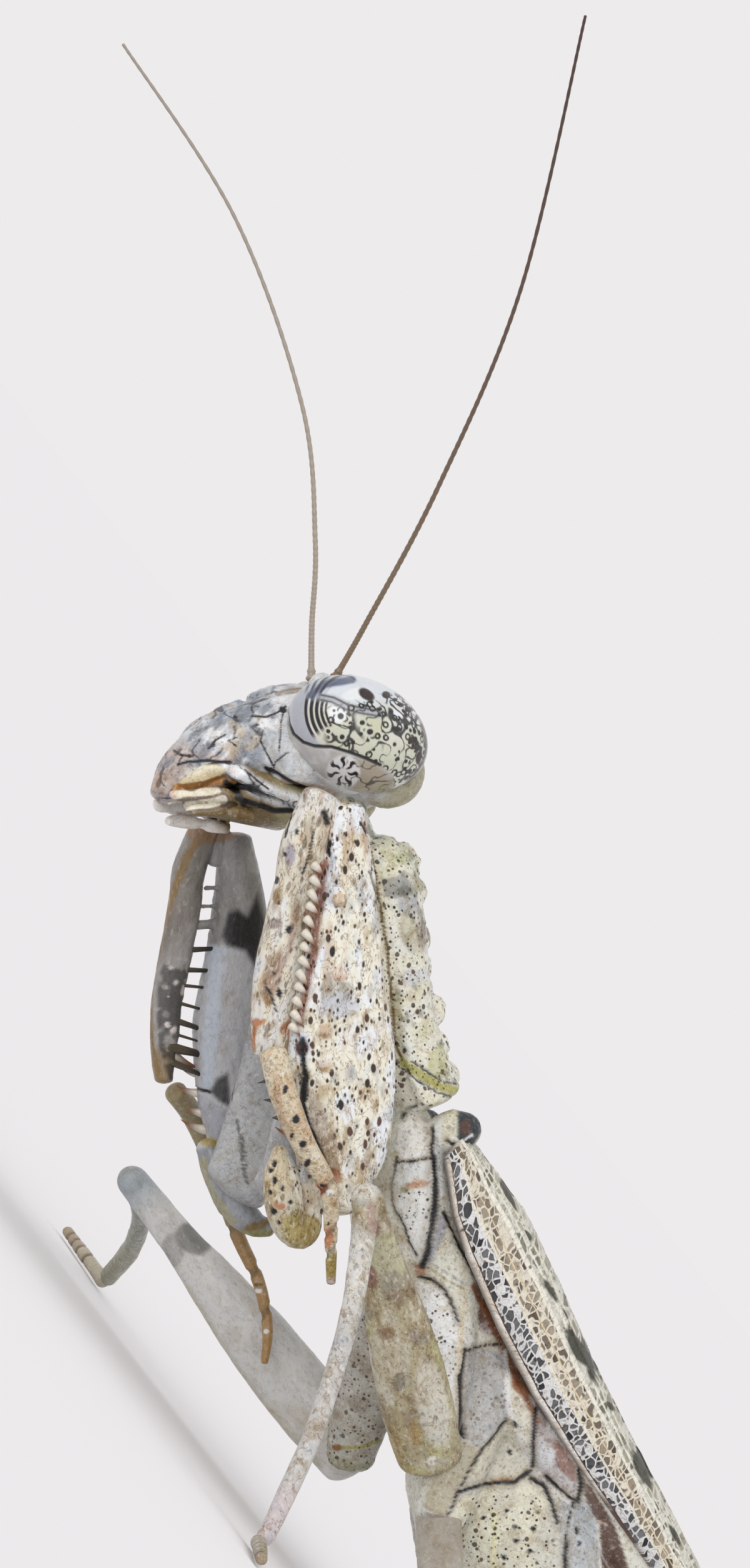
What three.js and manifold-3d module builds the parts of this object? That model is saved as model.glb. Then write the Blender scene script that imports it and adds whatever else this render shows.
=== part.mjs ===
// A bark mantis, life size, standing on a flat floor with its forelegs folded.
// Millimetres, +Z up. The animal faces -X and its left side is towards -Y.
// Every sub-part is one closed solid, and neighbours are kept GAP apart.
//
// The head, thorax, abdomen, wings and forelegs are laid out in an upright
// body frame and then leaned together to the animal's right. The walking
// legs, the antennae and the feet are laid out in the floor's own frame.

import * as THREE from 'three';
import { mergeVertices } from 'three/addons/utils/BufferGeometryUtils.js';
import Module from 'manifold-3d';

const wasm = await Module();
wasm.setup();

// ---------------------------------------------------------------- dimensions

const GAP = 0.3;                    // left between parts that meet
const LEAN = 15;                    // degrees the body leans to its right
const LEAN_HEIGHT = 8.5;            // height of the axis that it leans about

const MIDDLE = [1.45, -0.45];       // x, y that becomes the origin
const THIN = 0.25;                  // half of the least thickness of a limb

// Head: the eyes are ellipsoids tilted nose down, on a wedge-shaped capsule.
const EYE_CENTRE = [-5.26, 2.15, 14.14];
const EYE_LONG = 1.92;              // half length, front to back
const EYE_HIGH = 1.45;              // half height
const EYE_DEEP = 1.42;              // half depth, out to the side
const EYE_TILT = 28;                // degrees that the eye's front end hangs
const HEAD_PIVOT = [-3.8, 0, 13.3]; // where the head turns on the neck
const HEAD_TILT = 9;                // degrees its right side is lowered
const HEAD_TURN = 6;                // degrees it looks to its right

// Folded foreleg, seen from the side in the body frame.
const FORE_APEX = [2.75, 5.55];     // where coxa, trochanter and femur meet
const FORE_FEMUR_Y = 3.25;          // the femur folds outside the coxa
const FORE_FOLD = { left: 0, right: 3 };             // femur lowered, degrees
const FORE_REACH = { left: [0, 0], right: [-0.15, 0.1] };   // coxa's end moved x, z
const FORE_DROP = { left: [-0.15, -0.19], right: [0.24, -0.95] };   // beyond the coxa, x, z
const FORE_KNEE = [-4.3, 12.75];
const FORE_LENGTH = { left: 1, right: 0.9 };         // of the femur, drawn up to the knee
const TIBIA_FACE = { left: 0.36, right: 0.08 };      // added to the edge facing the femur
const FEMUR_FACE = { left: -0.29, right: -0.22 };    // added to the edge facing the tibia

// Tegmina: leathery fore wings laid flat over the back, left over right.
const WING_START = 4.35;            // x of the wing's root
const WING_END = 22.7;              // x of the wing's tip
const WING_THICK = 0.5;
const VEIN_HEIGHT = 0.13;
const WING_OVERLAP = 0.85;          // how far an inner edge passes the midline

// ------------------------------------------------------------------- colours

const CREAM = 0xcfc8b4;
const GREY = 0xb4b3ad;
const PALE = 0xd9d6cd;
const OLIVE = 0xa39a72;
const BROWN = 0x8a6a48;
const EYE_COLOUR = 0xc4c4b6;

// -------------------------------------------------------------- small helpers

const rad = THREE.MathUtils.degToRad;

// Point t (0 to 1) on a smooth curve through equally spaced rows of numbers.
function smoothRow(rows, t) {
  const last = rows.length - 1;
  const place = Math.min(Math.max(t, 0), 1) * last;
  const i = Math.min(Math.floor(place), last - 1);
  const f = place - i;
  const before = rows[Math.max(i - 1, 0)];
  const after = rows[Math.min(i + 2, last)];
  return rows[i].map((value, k) => {
    const next = rows[i + 1][k];
    const a = (next - before[k]) / 2;
    const b = (after[k] - value) / 2;
    const f2 = f * f;
    const f3 = f2 * f;
    return value * (2 * f3 - 3 * f2 + 1) + next * (3 * f2 - 2 * f3)
      + a * (f3 - 2 * f2 + f) + b * (f3 - f2);
  });
}

// Height of a curve given as [x, value] pairs, eased between the pairs.
function along(pairs, x) {
  let i = 0;
  while (i < pairs.length - 2 && x > pairs[i + 1][0]) i += 1;
  const [x0, v0] = pairs[i];
  const [x1, v1] = pairs[i + 1];
  const t = Math.min(Math.max((x - x0) / (x1 - x0), 0), 1);
  return v0 + (v1 - v0) * t;
}

// Turns a point of the body frame into the floor's frame.
function lean([x, y, z]) {
  const c = Math.cos(rad(LEAN));
  const s = Math.sin(rad(LEAN));
  const h = z - LEAN_HEIGHT;
  return [x, y * c + h * s, LEAN_HEIGHT - y * s + h * c];
}

// Turns a point of the upright head about its pivot, then leans it.
function headPose([x, y, z]) {
  const [px, py, pz] = HEAD_PIVOT;
  const tc = Math.cos(rad(HEAD_TILT));
  const ts = Math.sin(rad(HEAD_TILT));
  const y1 = (y - py) * tc + (z - pz) * ts;
  const z1 = -(y - py) * ts + (z - pz) * tc;
  const c = Math.cos(rad(HEAD_TURN));
  const s = Math.sin(rad(HEAD_TURN));
  return lean([px + (x - px) * c + y1 * s, py - (x - px) * s + y1 * c, pz + z1]);
}

// Turns a point about `pivot` in the x-z plane; positive lowers the front.
function swing([x, y, z], [px, pz], degrees) {
  const c = Math.cos(rad(degrees));
  const s = Math.sin(rad(degrees));
  return [px + (x - px) * c - (z - pz) * s, y, pz + (x - px) * s + (z - pz) * c];
}

// ------------------------------------------------------------ solid building

function solidFrom(positions, triangles) {
  const geometry = new THREE.BufferGeometry();
  geometry.setAttribute('position', new THREE.Float32BufferAttribute(positions, 3));
  geometry.setIndex(triangles);
  const merged = mergeVertices(geometry, 1e-4);
  const solid = new wasm.Manifold(new wasm.Mesh({
    numProp: 3,
    vertProperties: new Float32Array(merged.attributes.position.array),
    triVerts: new Uint32Array(merged.index.array),
  }));
  return solid;
}

function join(solids) {
  return solids.reduce((whole, piece) => whole.add(piece));
}

function clearOf(solid, neighbours) {
  return neighbours.reduce((rest, other) => rest.subtract(other), solid);
}

// Moves every vertex of a solid with `place`, from its own frame to another.
function posed(solid, place) {
  return solid.warp((vertex) => {
    const moved = place([vertex[0], vertex[1], vertex[2]]);
    for (let k = 0; k < 3; k += 1) vertex[k] = moved[k];
  });
}

// A closed tube of rounded sections. A station is
// [x, y, z, half width, top, bottom, power]; the width runs along `side` and
// the top along tangent x side. `grow` makes it fatter and longer all round.
function loft(stations, options = {}) {
  const { side = [0, 1, 0], rings = 12, sides = 14, grow = 0, round = 0.5, ripple } = options;
  const rows = [];
  for (let i = 0; i < rings; i += 1) rows.push(smoothRow(stations, i / (rings - 1)));
  const centres = rows.map((row) => new THREE.Vector3(row[0], row[1], row[2]));
  const positions = [];
  const sideways = new THREE.Vector3(...side);
  const frameAt = (i) => {
    const from = centres[Math.max(i - 1, 0)];
    const to = centres[Math.min(i + 1, rings - 1)];
    const tangent = to.clone().sub(from).normalize();
    const width = sideways.clone().addScaledVector(tangent, -sideways.dot(tangent)).normalize();
    const up = tangent.clone().cross(width);
    return { tangent, width, up };
  };
  const addRing = (centre, frame, row, scale, swell) => {
    const [, , , half, top, bottom, power = 2] = row;
    for (let k = 0; k < sides; k += 1) {
      const angle = (2 * Math.PI * (k + 0.5)) / sides;
      const c = Math.cos(angle);
      const s = Math.sin(angle);
      const w = Math.sign(c) * Math.abs(c) ** (2 / power) * (half * swell + grow) * scale;
      const reach = (s > 0 ? top : bottom) * swell + grow;
      const h = Math.sign(s) * Math.abs(s) ** (2 / power) * reach * scale;
      const point = centre.clone().addScaledVector(frame.width, w).addScaledVector(frame.up, h);
      positions.push(point.x, point.y, point.z);
    }
  };
  const capSteps = [70, 40];
  const addCap = (i, direction) => {
    const frame = frameAt(i);
    const row = rows[i];
    const bulge = round * Math.min(row[3], (row[4] + row[5]) / 2);
    const steps = direction < 0 ? capSteps : [...capSteps].reverse();
    for (const degrees of steps) {
      const reach = direction * (grow + bulge * Math.sin(rad(degrees)));
      const centre = centres[i].clone().addScaledVector(frame.tangent, reach);
      addRing(centre, frame, row, Math.cos(rad(degrees)), 1);
    }
    return centres[i].clone().addScaledVector(frame.tangent, direction * (grow + bulge));
  };
  const startPole = addCap(0, -1);
  for (let i = 0; i < rings; i += 1) {
    const swell = ripple ? ripple(i / (rings - 1)) : 1;
    addRing(centres[i], frameAt(i), rows[i], 1, swell);
  }
  const endPole = addCap(rings - 1, 1);
  const ringCount = rings + 2 * capSteps.length;
  const startIndex = positions.length / 3;
  positions.push(startPole.x, startPole.y, startPole.z, endPole.x, endPole.y, endPole.z);
  const triangles = [];
  for (let k = 0; k < sides; k += 1) {
    const next = (k + 1) % sides;
    for (let r = 0; r < ringCount - 1; r += 1) {
      const a = r * sides + k;
      const b = r * sides + next;
      triangles.push(a, b, b + sides, a, b + sides, a + sides);
    }
    const lastRing = (ringCount - 1) * sides;
    triangles.push(startIndex, next, k, startIndex + 1, lastRing + k, lastRing + next);
  }
  const flipped = [];
  for (let i = 0; i < triangles.length; i += 3) {
    flipped.push(triangles[i], triangles[i + 2], triangles[i + 1]);
  }
  const solid = solidFrom(positions, triangles);
  return solid.volume() > 0 ? solid : solidFrom(positions, flipped);
}

// An ellipsoid at `centre` with half sizes along x, y and z, tilted about y.
function ball(centre, halves, tilt = 0, grow = 0, detail = 10) {
  const sphere = new THREE.SphereGeometry(1, detail * 2, detail);
  sphere.scale(halves[0] + grow, halves[1] + grow, halves[2] + grow);
  sphere.rotateY(rad(tilt));
  sphere.translate(...centre);
  return solidFrom([...sphere.attributes.position.array], [...sphere.index.array]);
}

// A spine: a four-sided cone that bends over towards `hook` at its tip.
function spine(root, direction, length, half, hook = [0, 0, 0]) {
  const along3 = new THREE.Vector3(...direction).normalize();
  const bend = new THREE.Vector3(...hook);
  const across = new THREE.Vector3(0, 1, 0).cross(along3);
  if (across.lengthSq() < 0.01) across.set(1, 0, 0);
  across.normalize();
  const over = along3.clone().cross(across);
  const base = new THREE.Vector3(...root);
  const positions = [];
  for (const [t, scale] of [[0, 1], [0.55, 0.62]]) {
    for (let k = 0; k < 4; k += 1) {
      const c = Math.cos((k * Math.PI) / 2) * half * scale;
      const s = Math.sin((k * Math.PI) / 2) * half * scale;
      const p = base.clone().addScaledVector(along3, t * length)
        .addScaledVector(bend, t * t * length).addScaledVector(across, c).addScaledVector(over, s);
      positions.push(p.x, p.y, p.z);
    }
  }
  const tip = base.clone().addScaledVector(along3, length).addScaledVector(bend, length);
  positions.push(tip.x, tip.y, tip.z);
  const triangles = [0, 2, 1, 0, 3, 2];
  for (let k = 0; k < 4; k += 1) {
    const n = (k + 1) % 4;
    triangles.push(k, n, n + 4, k, n + 4, k + 4, k + 4, n + 4, 8);
  }
  const solid = solidFrom(positions, triangles);
  if (solid.volume() > 0) return solid;
  const flipped = [];
  for (let i = 0; i < triangles.length; i += 3) {
    flipped.push(triangles[i], triangles[i + 2], triangles[i + 1]);
  }
  return solidFrom(positions, flipped);
}

// --------------------------------------------------------------- scene graph

const group = new THREE.Group();

// Adds a solid as a named mesh; `place` moves each vertex to the floor's frame.
function addPart(name, solid, colour, roughness, place = (p) => p) {
  const pieces = solid.decompose();
  const largest = pieces.reduce((a, b) => (b.volume() > a.volume() ? b : a));
  const { vertProperties, triVerts, numProp } = largest.getMesh();
  const positions = [];
  for (let i = 0; i < vertProperties.length; i += numProp) {
    positions.push(...place([vertProperties[i], vertProperties[i + 1], vertProperties[i + 2]]));
  }
  const geometry = new THREE.BufferGeometry();
  geometry.setAttribute('position', new THREE.Float32BufferAttribute(positions, 3));
  geometry.setIndex([...triVerts]);
  geometry.computeVertexNormals();
  const material = new THREE.MeshStandardMaterial({ color: colour, roughness, metalness: 0 });
  const mesh = new THREE.Mesh(geometry, material);
  mesh.name = name;
  group.add(mesh);
  return mesh;
}

const SIDES = [['left', -1], ['right', 1]];

// ---------------------------------------------------------------------- head

const HEAD_STATIONS = [
  // up the face from the mouth: the top of a section is the face's front
  [-7.25, 0, 9.75, 0.45, 0.32, 0.28, 2.2],
  [-7.4, 0, 10.5, 0.9, 0.52, 0.55, 2.3],
  [-7.15, 0, 11.35, 1.25, 0.98, 0.85, 2.4],
  [-6.65, 0, 12.25, 1.7, 1.25, 1.15, 2.4],
  [-6.05, 0, 13.05, 2.05, 1.52, 1.3, 2.4],
  [-5.4, 0, 13.85, 2.2, 1.62, 1.5, 2.3],
  [-4.95, 0, 14.7, 1.9, 1.65, 1.7, 2.2],
  [-4.85, 0, 15.35, 1.35, 1.3, 1.15, 2.2],
];
const ANTENNA_ROOT = [-6.75, 0.6, 15.1];

function headShape(grow = 0) {
  const pieces = [loft(HEAD_STATIONS, { rings: 12, sides: 16, grow, round: 0.35 })];
  const [ax, ay, az] = ANTENNA_ROOT;
  for (const [, sign] of SIDES) {
    pieces.push(ball([-3.9, sign * 1.6, 14.35], [0.9, 0.62, 1.0], 20, grow, 5));
    pieces.push(ball([ax + 0.15, sign * ay, az - 0.2], [0.36, 0.34, 0.36], 0, grow, 4));
    pieces.push(ball([-5.75, sign * 1.6, 12.5], [0.8, 0.42, 0.65], -30, grow, 4));
  }
  return join(pieces);
}

function eyeBall(sign, grow = 0) {
  const [x, y, z] = EYE_CENTRE;
  return ball([x, sign * y, z], [EYE_LONG, EYE_DEEP, EYE_HIGH], -EYE_TILT, grow, 9);
}

function buildHead() {
  const ocelli = [[-6.45, 0, 15.55], [-6.2, 0.33, 15.8], [-6.2, -0.33, 15.8]].map(
    (centre) => ball(centre, [0.22, 0.2, 0.2], 0, 0, 3),
  );
  return clearOf(join([headShape(), ...ocelli]), SIDES.map(([, sign]) => eyeBall(sign, GAP)));
}

function buildMouthparts() {
  const pieces = [loft([
    [-4.75, 0, 12.15, 1.1, 0.45, 0.38],
    [-5.5, 0, 11.5, 1.05, 0.5, 0.38],
    [-6.2, 0, 10.85, 0.9, 0.45, 0.36],
    [-6.65, 0, 10.3, 0.55, 0.3, 0.27],
  ], { rings: 5, sides: 10 })];
  for (const [, sign] of SIDES) {
    pieces.push(loft([
      [-4.85, sign * 1.1, 12.2, 0.3, 0.28, 0.28],
      [-5.7, sign * 1.35, 11.75, 0.27, 0.26, 0.26],
      [-6.35, sign * 1.4, 11.3, 0.25, 0.25, 0.25],
    ], { rings: 4, sides: 6 }));
    pieces.push(loft([
      [-5.7, sign * 1.0, 11.25, 0.3, 0.28, 0.28],
      [-6.3, sign * 1.05, 10.7, 0.26, 0.25, 0.25],
      [-6.78, sign * 0.8, 10.12, 0.25, 0.25, 0.25],
      [-7.15, sign * 0.5, 9.75, 0.2, 0.2, 0.2],
    ], { rings: 6, sides: 6 }));
  }
  return clearOf(join(pieces), [headShape(GAP)]);
}

// Antennae, root first: [x, y, z] in the floor's frame beyond the head.
const ANTENNAE = {
  left: [[-6.62, 1.2, 15.0], [-7.3, 1.1, 16.6], [-9.25, -0.2, 20.3], [-12.4, -2.4, 25.0],
    [-17.3, -5.0, 30.35]],
  right: [[-6.75, 2.45, 14.65], [-7.8, 2.95, 15.55], [-9.45, 3.4, 17.0], [-12.3, 4.4, 18.9],
    [-17.0, 6.2, 20.55], [-22.2, 8.0, 21.05]],
};

function buildAntenna(name) {
  const points = ANTENNAE[name];
  const stations = points.map(([x, y, z], i) => {
    const half = i < points.length - 1 ? THIN : 0.12;
    return [x, y, z, half, half, half];
  });
  const antenna = loft(stations, { side: [0, 1, 0], rings: 22, sides: 7 });
  return clearOf(antenna, [posed(headShape(GAP), headPose)]);
}

// ------------------------------------------------------------------- thorax

const PROTHORAX = [
  [-2.85, 0, 12.95, 1.55, 1.05, 0.85, 2.3],
  [-2.1, 0, 12.6, 2.0, 1.35, 1.0, 2.4],
  [-1.0, 0, 12.05, 2.1, 1.25, 1.05, 2.4],
  [0.0, 0, 11.45, 1.95, 1.2, 1.0, 2.4],
  [1.0, 0, 10.9, 1.85, 1.15, 0.95, 2.4],
  [2.0, 0, 10.35, 1.9, 1.2, 0.9, 2.4],
  [3.1, 0, 9.95, 2.0, 1.3, 0.85, 2.3],
];

// Tubercles on the pronotum: [x, distance from the midline, z, half size].
const PRONOTUM_LUMPS = [
  [-1.85, 0.5, 13.6, 0.52],
  [-1.1, 0.5, 13.35, 0.42],
  [-0.05, 0.45, 12.72, 0.36],
  [0.5, 0.8, 12.2, 0.34],
  [1.6, 0.5, 11.8, 0.42],
  [2.3, 0.75, 11.3, 0.34],
  [3.2, 0.4, 11.05, 0.4],
];

const PTEROTHORAX = [
  [3.2, 0, 9.3, 1.55, 0.75, 0.75, 2.3],
  [4.3, 0, 8.75, 2.0, 1.0, 1.15, 2.4],
  [5.5, 0, 8.1, 2.2, 1.0, 1.35, 2.5],
  [7.0, 0, 7.55, 2.25, 1.0, 1.45, 2.5],
  [8.5, 0, 7.2, 2.25, 1.0, 1.5, 2.5],
  [10.0, 0, 6.9, 2.2, 1.0, 1.5, 2.4],
  [11.2, 0, 6.7, 2.0, 1.0, 1.45, 2.3],
];

const ABDOMEN = [
  [11.2, 0, 5.9, 1.95, 1.0, 2.15, 2.3],
  [13.0, 0, 5.55, 2.6, 1.05, 2.75, 2.4],
  [15.0, 0, 5.45, 2.95, 0.8, 2.75, 2.4],
  [17.2, 0, 5.4, 2.9, 0.5, 2.4, 2.4],
  [19.4, 0, 5.2, 2.35, 0.4, 1.7, 2.3],
  [21.2, 0, 4.95, 1.3, 0.3, 0.8, 2.2],
];
const ABDOMEN_SEGMENTS = 7;

const prothorax = (grow = 0) => loft(PROTHORAX, { rings: 10, sides: 16, grow, round: 0.3 });
const pterothorax = (grow = 0) => loft(PTEROTHORAX, { rings: 8, sides: 16, grow, round: 0.35 });

function abdomen(grow = 0) {
  const ripple = (t) => 0.95 + 0.05 * Math.sin(Math.PI * ((t * ABDOMEN_SEGMENTS) % 1));
  return loft(ABDOMEN, { rings: 22, sides: 12, grow, round: 0.6, ripple });
}

function buildProthorax() {
  const lumps = [];
  for (const [x, y, z, half] of PRONOTUM_LUMPS) {
    for (const [, sign] of SIDES) {
      lumps.push(ball([x, sign * y, z], [half * 1.1, half, half], 28, 0, 3));
    }
  }
  return join([prothorax(), ...lumps]);
}

const tegulae = (grow = 0) => SIDES.map(
  ([, sign]) => ball([4.2, sign * 1.45, 9.95], [0.6, 0.55, 0.85], 25, grow, 5),
);

const buildPterothorax = () => clearOf(join([pterothorax(), ...tegulae()]), [prothorax(GAP)]);

function buildNeck() {
  const stations = [
    [-5.2, 0, 13.4, 1.1, 0.7, 0.7, 2],
    [-3.8, 0, 13.15, 1.1, 0.7, 0.75, 2],
    [-2.4, 0, 12.65, 1.1, 0.7, 0.8, 2],
  ];
  const neck = posed(loft(stations, { rings: 6, sides: 14 }), lean);
  return clearOf(neck, [posed(headShape(GAP), headPose), posed(prothorax(GAP), lean)]);
}

function buildAbdomen() {
  const cerci = SIDES.map(([, sign]) => loft([
    [20.9, sign * 0.7, 4.9, 0.3, 0.28, 0.28],
    [21.9, sign * 1.15, 4.75, 0.3, 0.28, 0.28],
    [22.8, sign * 1.55, 4.65, 0.15, 0.15, 0.15],
  ], { rings: 5, sides: 6 }));
  return join([abdomen(), ...cerci]);
}

// ------------------------------------------------------------------- tegmina

const WING_OUTER_Y = [[4.35, 2.35], [6.5, 2.9], [8.5, 3.05], [12.6, 3.0], [16, 2.75], [19, 2.3],
  [21.5, 1.45], [22.7, 0.6]];
const WING_OUTER_Z = [[4.35, 9.3], [5.57, 8.45], [6.53, 8.0], [8.52, 7.42], [10.55, 7.05],
  [12.6, 6.87], [15.7, 6.7], [20, 6.75], [22.7, 6.95]];
const WING_CREST_Z = [[4.35, 10.3], [5.05, 10.42], [7.14, 10.34], [9.18, 9.9], [11.22, 9.32],
  [13.26, 8.88], [16.96, 8.17], [20, 7.6], [22.7, 7.05]];
const WING_INNER_Y = [[4.35, -0.55], [7.4, -0.3], [9.5, WING_OVERLAP], [19, WING_OVERLAP],
  [21.5, 0.5], [22.7, -0.2]];
const VEINS = [0.04, 0.3, 0.52, 0.76];    // places across the wing
const VEIN_HALF = 0.03;                        // half width, as a share across
const WING_STEPS = 17;

// Upper surface of the wing at x and at share v from its outer to inner edge.
function wingPoint(x, v, lower) {
  const outer = along(WING_OUTER_Y, x);
  const inner = along(WING_INNER_Y, x);
  const y = -outer + (outer + inner) * (1 - (1 - v) ** 1.35);
  const rim = along(WING_OUTER_Z, x);
  const crest = along(WING_CREST_Z, x);
  const share = Math.min(Math.abs(y) / outer, 1);
  const arch = (1 - share ** 2.6) ** (1 / 2.2);
  const tuck = lower * (WING_THICK + GAP + VEIN_HEIGHT) * along([[4.8, 0], [7.5, 1]], x)
    * along([[-2.6, 0], [-1.4, 1]], y);
  return [x, y, rim + (crest - rim) * arch - tuck];
}

function buildTegmen(sign) {
  const lower = sign > 0 ? 1 : 0;
  const across = new Set([0, 1, 0.16, 0.4, 0.64, 0.88]);
  for (const v of VEINS) [v - VEIN_HALF, v, v + VEIN_HALF].forEach((p) => across.add(p));
  const shares = [...across].sort((a, b) => a - b);
  const top = [];
  const bottom = [];
  for (let i = 0; i <= WING_STEPS; i += 1) {
    const x = WING_START + ((WING_END - WING_START) * i) / WING_STEPS;
    for (const v of shares) {
      const here = new THREE.Vector3(...wingPoint(x, v, lower));
      const du = new THREE.Vector3(...wingPoint(x + 0.05, v, lower)).sub(here);
      const w = v < 0.5 ? 0.02 : -0.02;
      const dv = new THREE.Vector3(...wingPoint(x, v + w, lower)).sub(here).multiplyScalar(Math.sign(w));
      const normal = du.cross(dv).normalize();
      if (normal.z < 0) normal.negate();
      const ridge = VEINS.includes(v) ? VEIN_HEIGHT : 0;
      const upper = here.clone().addScaledVector(normal, ridge);
      const under = here.clone().addScaledVector(normal, -WING_THICK);
      top.push([upper.x, sign < 0 ? upper.y : -upper.y, upper.z]);
      bottom.push([under.x, sign < 0 ? under.y : -under.y, under.z]);
    }
  }
  const count = shares.length;
  const offset = top.length;
  const triangles = [];
  const quad = (a, b, c, d) => triangles.push(a, b, c, a, c, d);
  for (let i = 0; i < WING_STEPS; i += 1) {
    for (let j = 0; j < count - 1; j += 1) {
      const a = i * count + j;
      const b = a + count;
      triangles.push(a, b, b + 1, a, b + 1, a + 1);
      triangles.push(offset + a, offset + b + 1, offset + b, offset + a, offset + a + 1, offset + b + 1);
    }
    const first = i * count;
    const last = first + count - 1;
    quad(first, offset + first, offset + first + count, first + count);
    quad(last, last + count, offset + last + count, offset + last);
  }
  const end = WING_STEPS * count;
  for (let j = 0; j < count - 1; j += 1) {
    quad(j, j + 1, offset + j + 1, offset + j);
    quad(end + j, offset + end + j, offset + end + j + 1, end + j + 1);
  }
  const positions = [...top, ...bottom].flat();
  const solid = solidFrom(positions, triangles);
  if (solid.volume() > 0) return solid;
  const flipped = [];
  for (let i = 0; i < triangles.length; i += 3) {
    flipped.push(triangles[i], triangles[i + 2], triangles[i + 1]);
  }
  return solidFrom(positions, flipped);
}

// ------------------------------------------------------------------ forelegs

// Stations of the left leg; y is the distance from the mid plane. On the
// femur and tibia the top of a section is the edge that faces the other.
const FORE_COXA = [
  [-1.55, 1.45, 11.9, 0.6, 0.85, 0.9, 2.3],
  [-0.95, 1.7, 10.9, 0.6, 0.95, 1.1, 2.4],
  [0.1, 1.8, 9.5, 0.58, 1.0, 1.3, 2.5],
  [1.25, 1.85, 7.95, 0.58, 1.05, 1.3, 2.5],
  [2.05, 1.9, 6.45, 0.58, 1.05, 1.15, 2.5],
  [2.4, 1.95, 5.3, 0.58, 0.9, 0.9, 2.4],
];
const FORE_TROCHANTER = [
  [2.7, 2.0, 5.2, 0.6, 0.6, 0.6, 2.2],
  [3.15, 2.6, 5.1, 0.65, 0.6, 0.6, 2.2],
  [3.1, 3.2, 5.6, 0.62, 0.65, 0.65, 2.2],
];
const FORE_FEMUR = [
  [3.05, FORE_FEMUR_Y, 6.0, 0.58, 0.75, 0.8, 2.3],
  [2.2, FORE_FEMUR_Y, 7.1, 0.62, 1.15, 1.3, 2.4],
  [1.2, FORE_FEMUR_Y, 8.0, 0.64, 1.4, 1.45, 2.4],
  [0.2, FORE_FEMUR_Y, 8.9, 0.65, 1.5, 1.4, 2.4],
  [-0.8, FORE_FEMUR_Y, 9.8, 0.64, 1.38, 1.1, 2.4],
  [-1.9, FORE_FEMUR_Y, 10.75, 0.6, 1.05, 0.92, 2.4],
  [-3.1, FORE_FEMUR_Y, 11.8, 0.56, 0.8, 0.72, 2.4],
  [-4.3, FORE_FEMUR_Y, 12.75, 0.52, 0.6, 0.5, 2.3],
];
const FORE_TIBIA = [
  [-5.0, FORE_FEMUR_Y, 12.45, 0.42, 0.4, 0.46, 2.2],
  [-4.5, FORE_FEMUR_Y, 11.35, 0.4, 0.47, 0.47, 2.2],
  [-3.92, FORE_FEMUR_Y, 10.65, 0.4, 0.47, 0.47, 2.2],
  [-3.15, FORE_FEMUR_Y, 9.6, 0.38, 0.47, 0.47, 2.2],
  [-2.47, FORE_FEMUR_Y, 8.68, 0.36, 0.45, 0.45, 2.2],
  [-1.7, FORE_FEMUR_Y, 7.82, 0.33, 0.42, 0.4, 2.2],
  [-1.0, FORE_FEMUR_Y, 7.15, 0.28, 0.3, 0.25, 2.2],
];
// Foreleg tarsi in the body frame, hanging from the tibia's end.
const FORE_TARSUS = {
  left: [[-1.1, 4.0, 6.95], [-0.1, 4.3, 6.4], [1.1, 4.3, 6.05], [2.45, 4.3, 5.8], [3.5, 4.1, 5.1],
    [4.4, 3.9, 4.45]],
  right: [[-0.2, 4.0, 6.2], [0.8, 4.6, 6.3], [2.2, 4.55, 5.9], [3.8, 4.3, 5.2], [5.0, 3.5, 4.65],
    [6.0, 3.2, 4.0], [6.6, 3.1, 3.35]],
};

// Puts a point of the left leg on either side, in that side's pose. The coxa
// leans over from its root; all beyond it follows the coxa's apex.
function forePose(name, sign, beyondCoxa, length = 1) {
  const [dx, dz] = beyondCoxa ? FORE_DROP[name] : FORE_REACH[name];
  const [kx, kz] = FORE_KNEE;
  const rootHeight = FORE_COXA[0][2];
  return (p) => {
    const drawn = [kx + (p[0] - kx) * length, p[1], kz + (p[2] - kz) * length];
    const share = beyondCoxa ? 1 : (rootHeight - p[2]) / (rootHeight - FORE_APEX[1]);
    const q = beyondCoxa ? swing(drawn, FORE_APEX, FORE_FOLD[name]) : p;
    return [q[0] + dx * share, sign * q[1], q[2] + dz * share];
  };
}

// Stations whose edge facing the other limb is moved out by `more`.
function faced(stations, more) {
  return stations.map(([x, y, z, half, top, ...rest]) => [x, y, z, half, top + more, ...rest]);
}

function poseStations(stations, pose) {
  return stations.map(([x, y, z, ...rest]) => [...pose([x, y, z]), ...rest]);
}

function poseDirection(pose, from, direction) {
  const a = pose(from);
  const b = pose([from[0] + direction[0], from[1] + direction[1], from[2] + direction[2]]);
  return [b[0] - a[0], b[1] - a[1], b[2] - a[2]];
}

// A row of spines along a limb's edge. `edge` is 1 for the top of the
// section and -1 for its bottom; `inset` moves the row along y.
function spineRow(stations, pose, row) {
  const { count, from, to, length, half, inset, slant, edge } = row;
  const spines = [];
  for (let i = 0; i < count; i += 1) {
    const t = from + ((to - from) * i) / (count - 1);
    const [x, y, z, , top, bottom] = smoothRow(stations, t);
    const [x0, , z0] = smoothRow(stations, Math.max(t - 0.02, 0));
    const [x1, , z1] = smoothRow(stations, Math.min(t + 0.02, 1));
    const step = Math.hypot(x1 - x0, z1 - z0);
    const run = [(x1 - x0) / step, (z1 - z0) / step];
    const out = [-run[1] * edge, run[0] * edge];
    const rim = edge > 0 ? top : bottom;
    const root = [x + out[0] * rim * 0.55, y + inset, z + out[1] * rim * 0.55];
    const reach = (i % 2 ? 0.78 : 1) * length + rim * 0.45;
    const aim = [out[0] + run[0] * slant, inset * 0.6, out[1] + run[1] * slant];
    spines.push(spine(pose(root), poseDirection(pose, root, aim), reach, half));
  }
  return spines;
}

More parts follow.
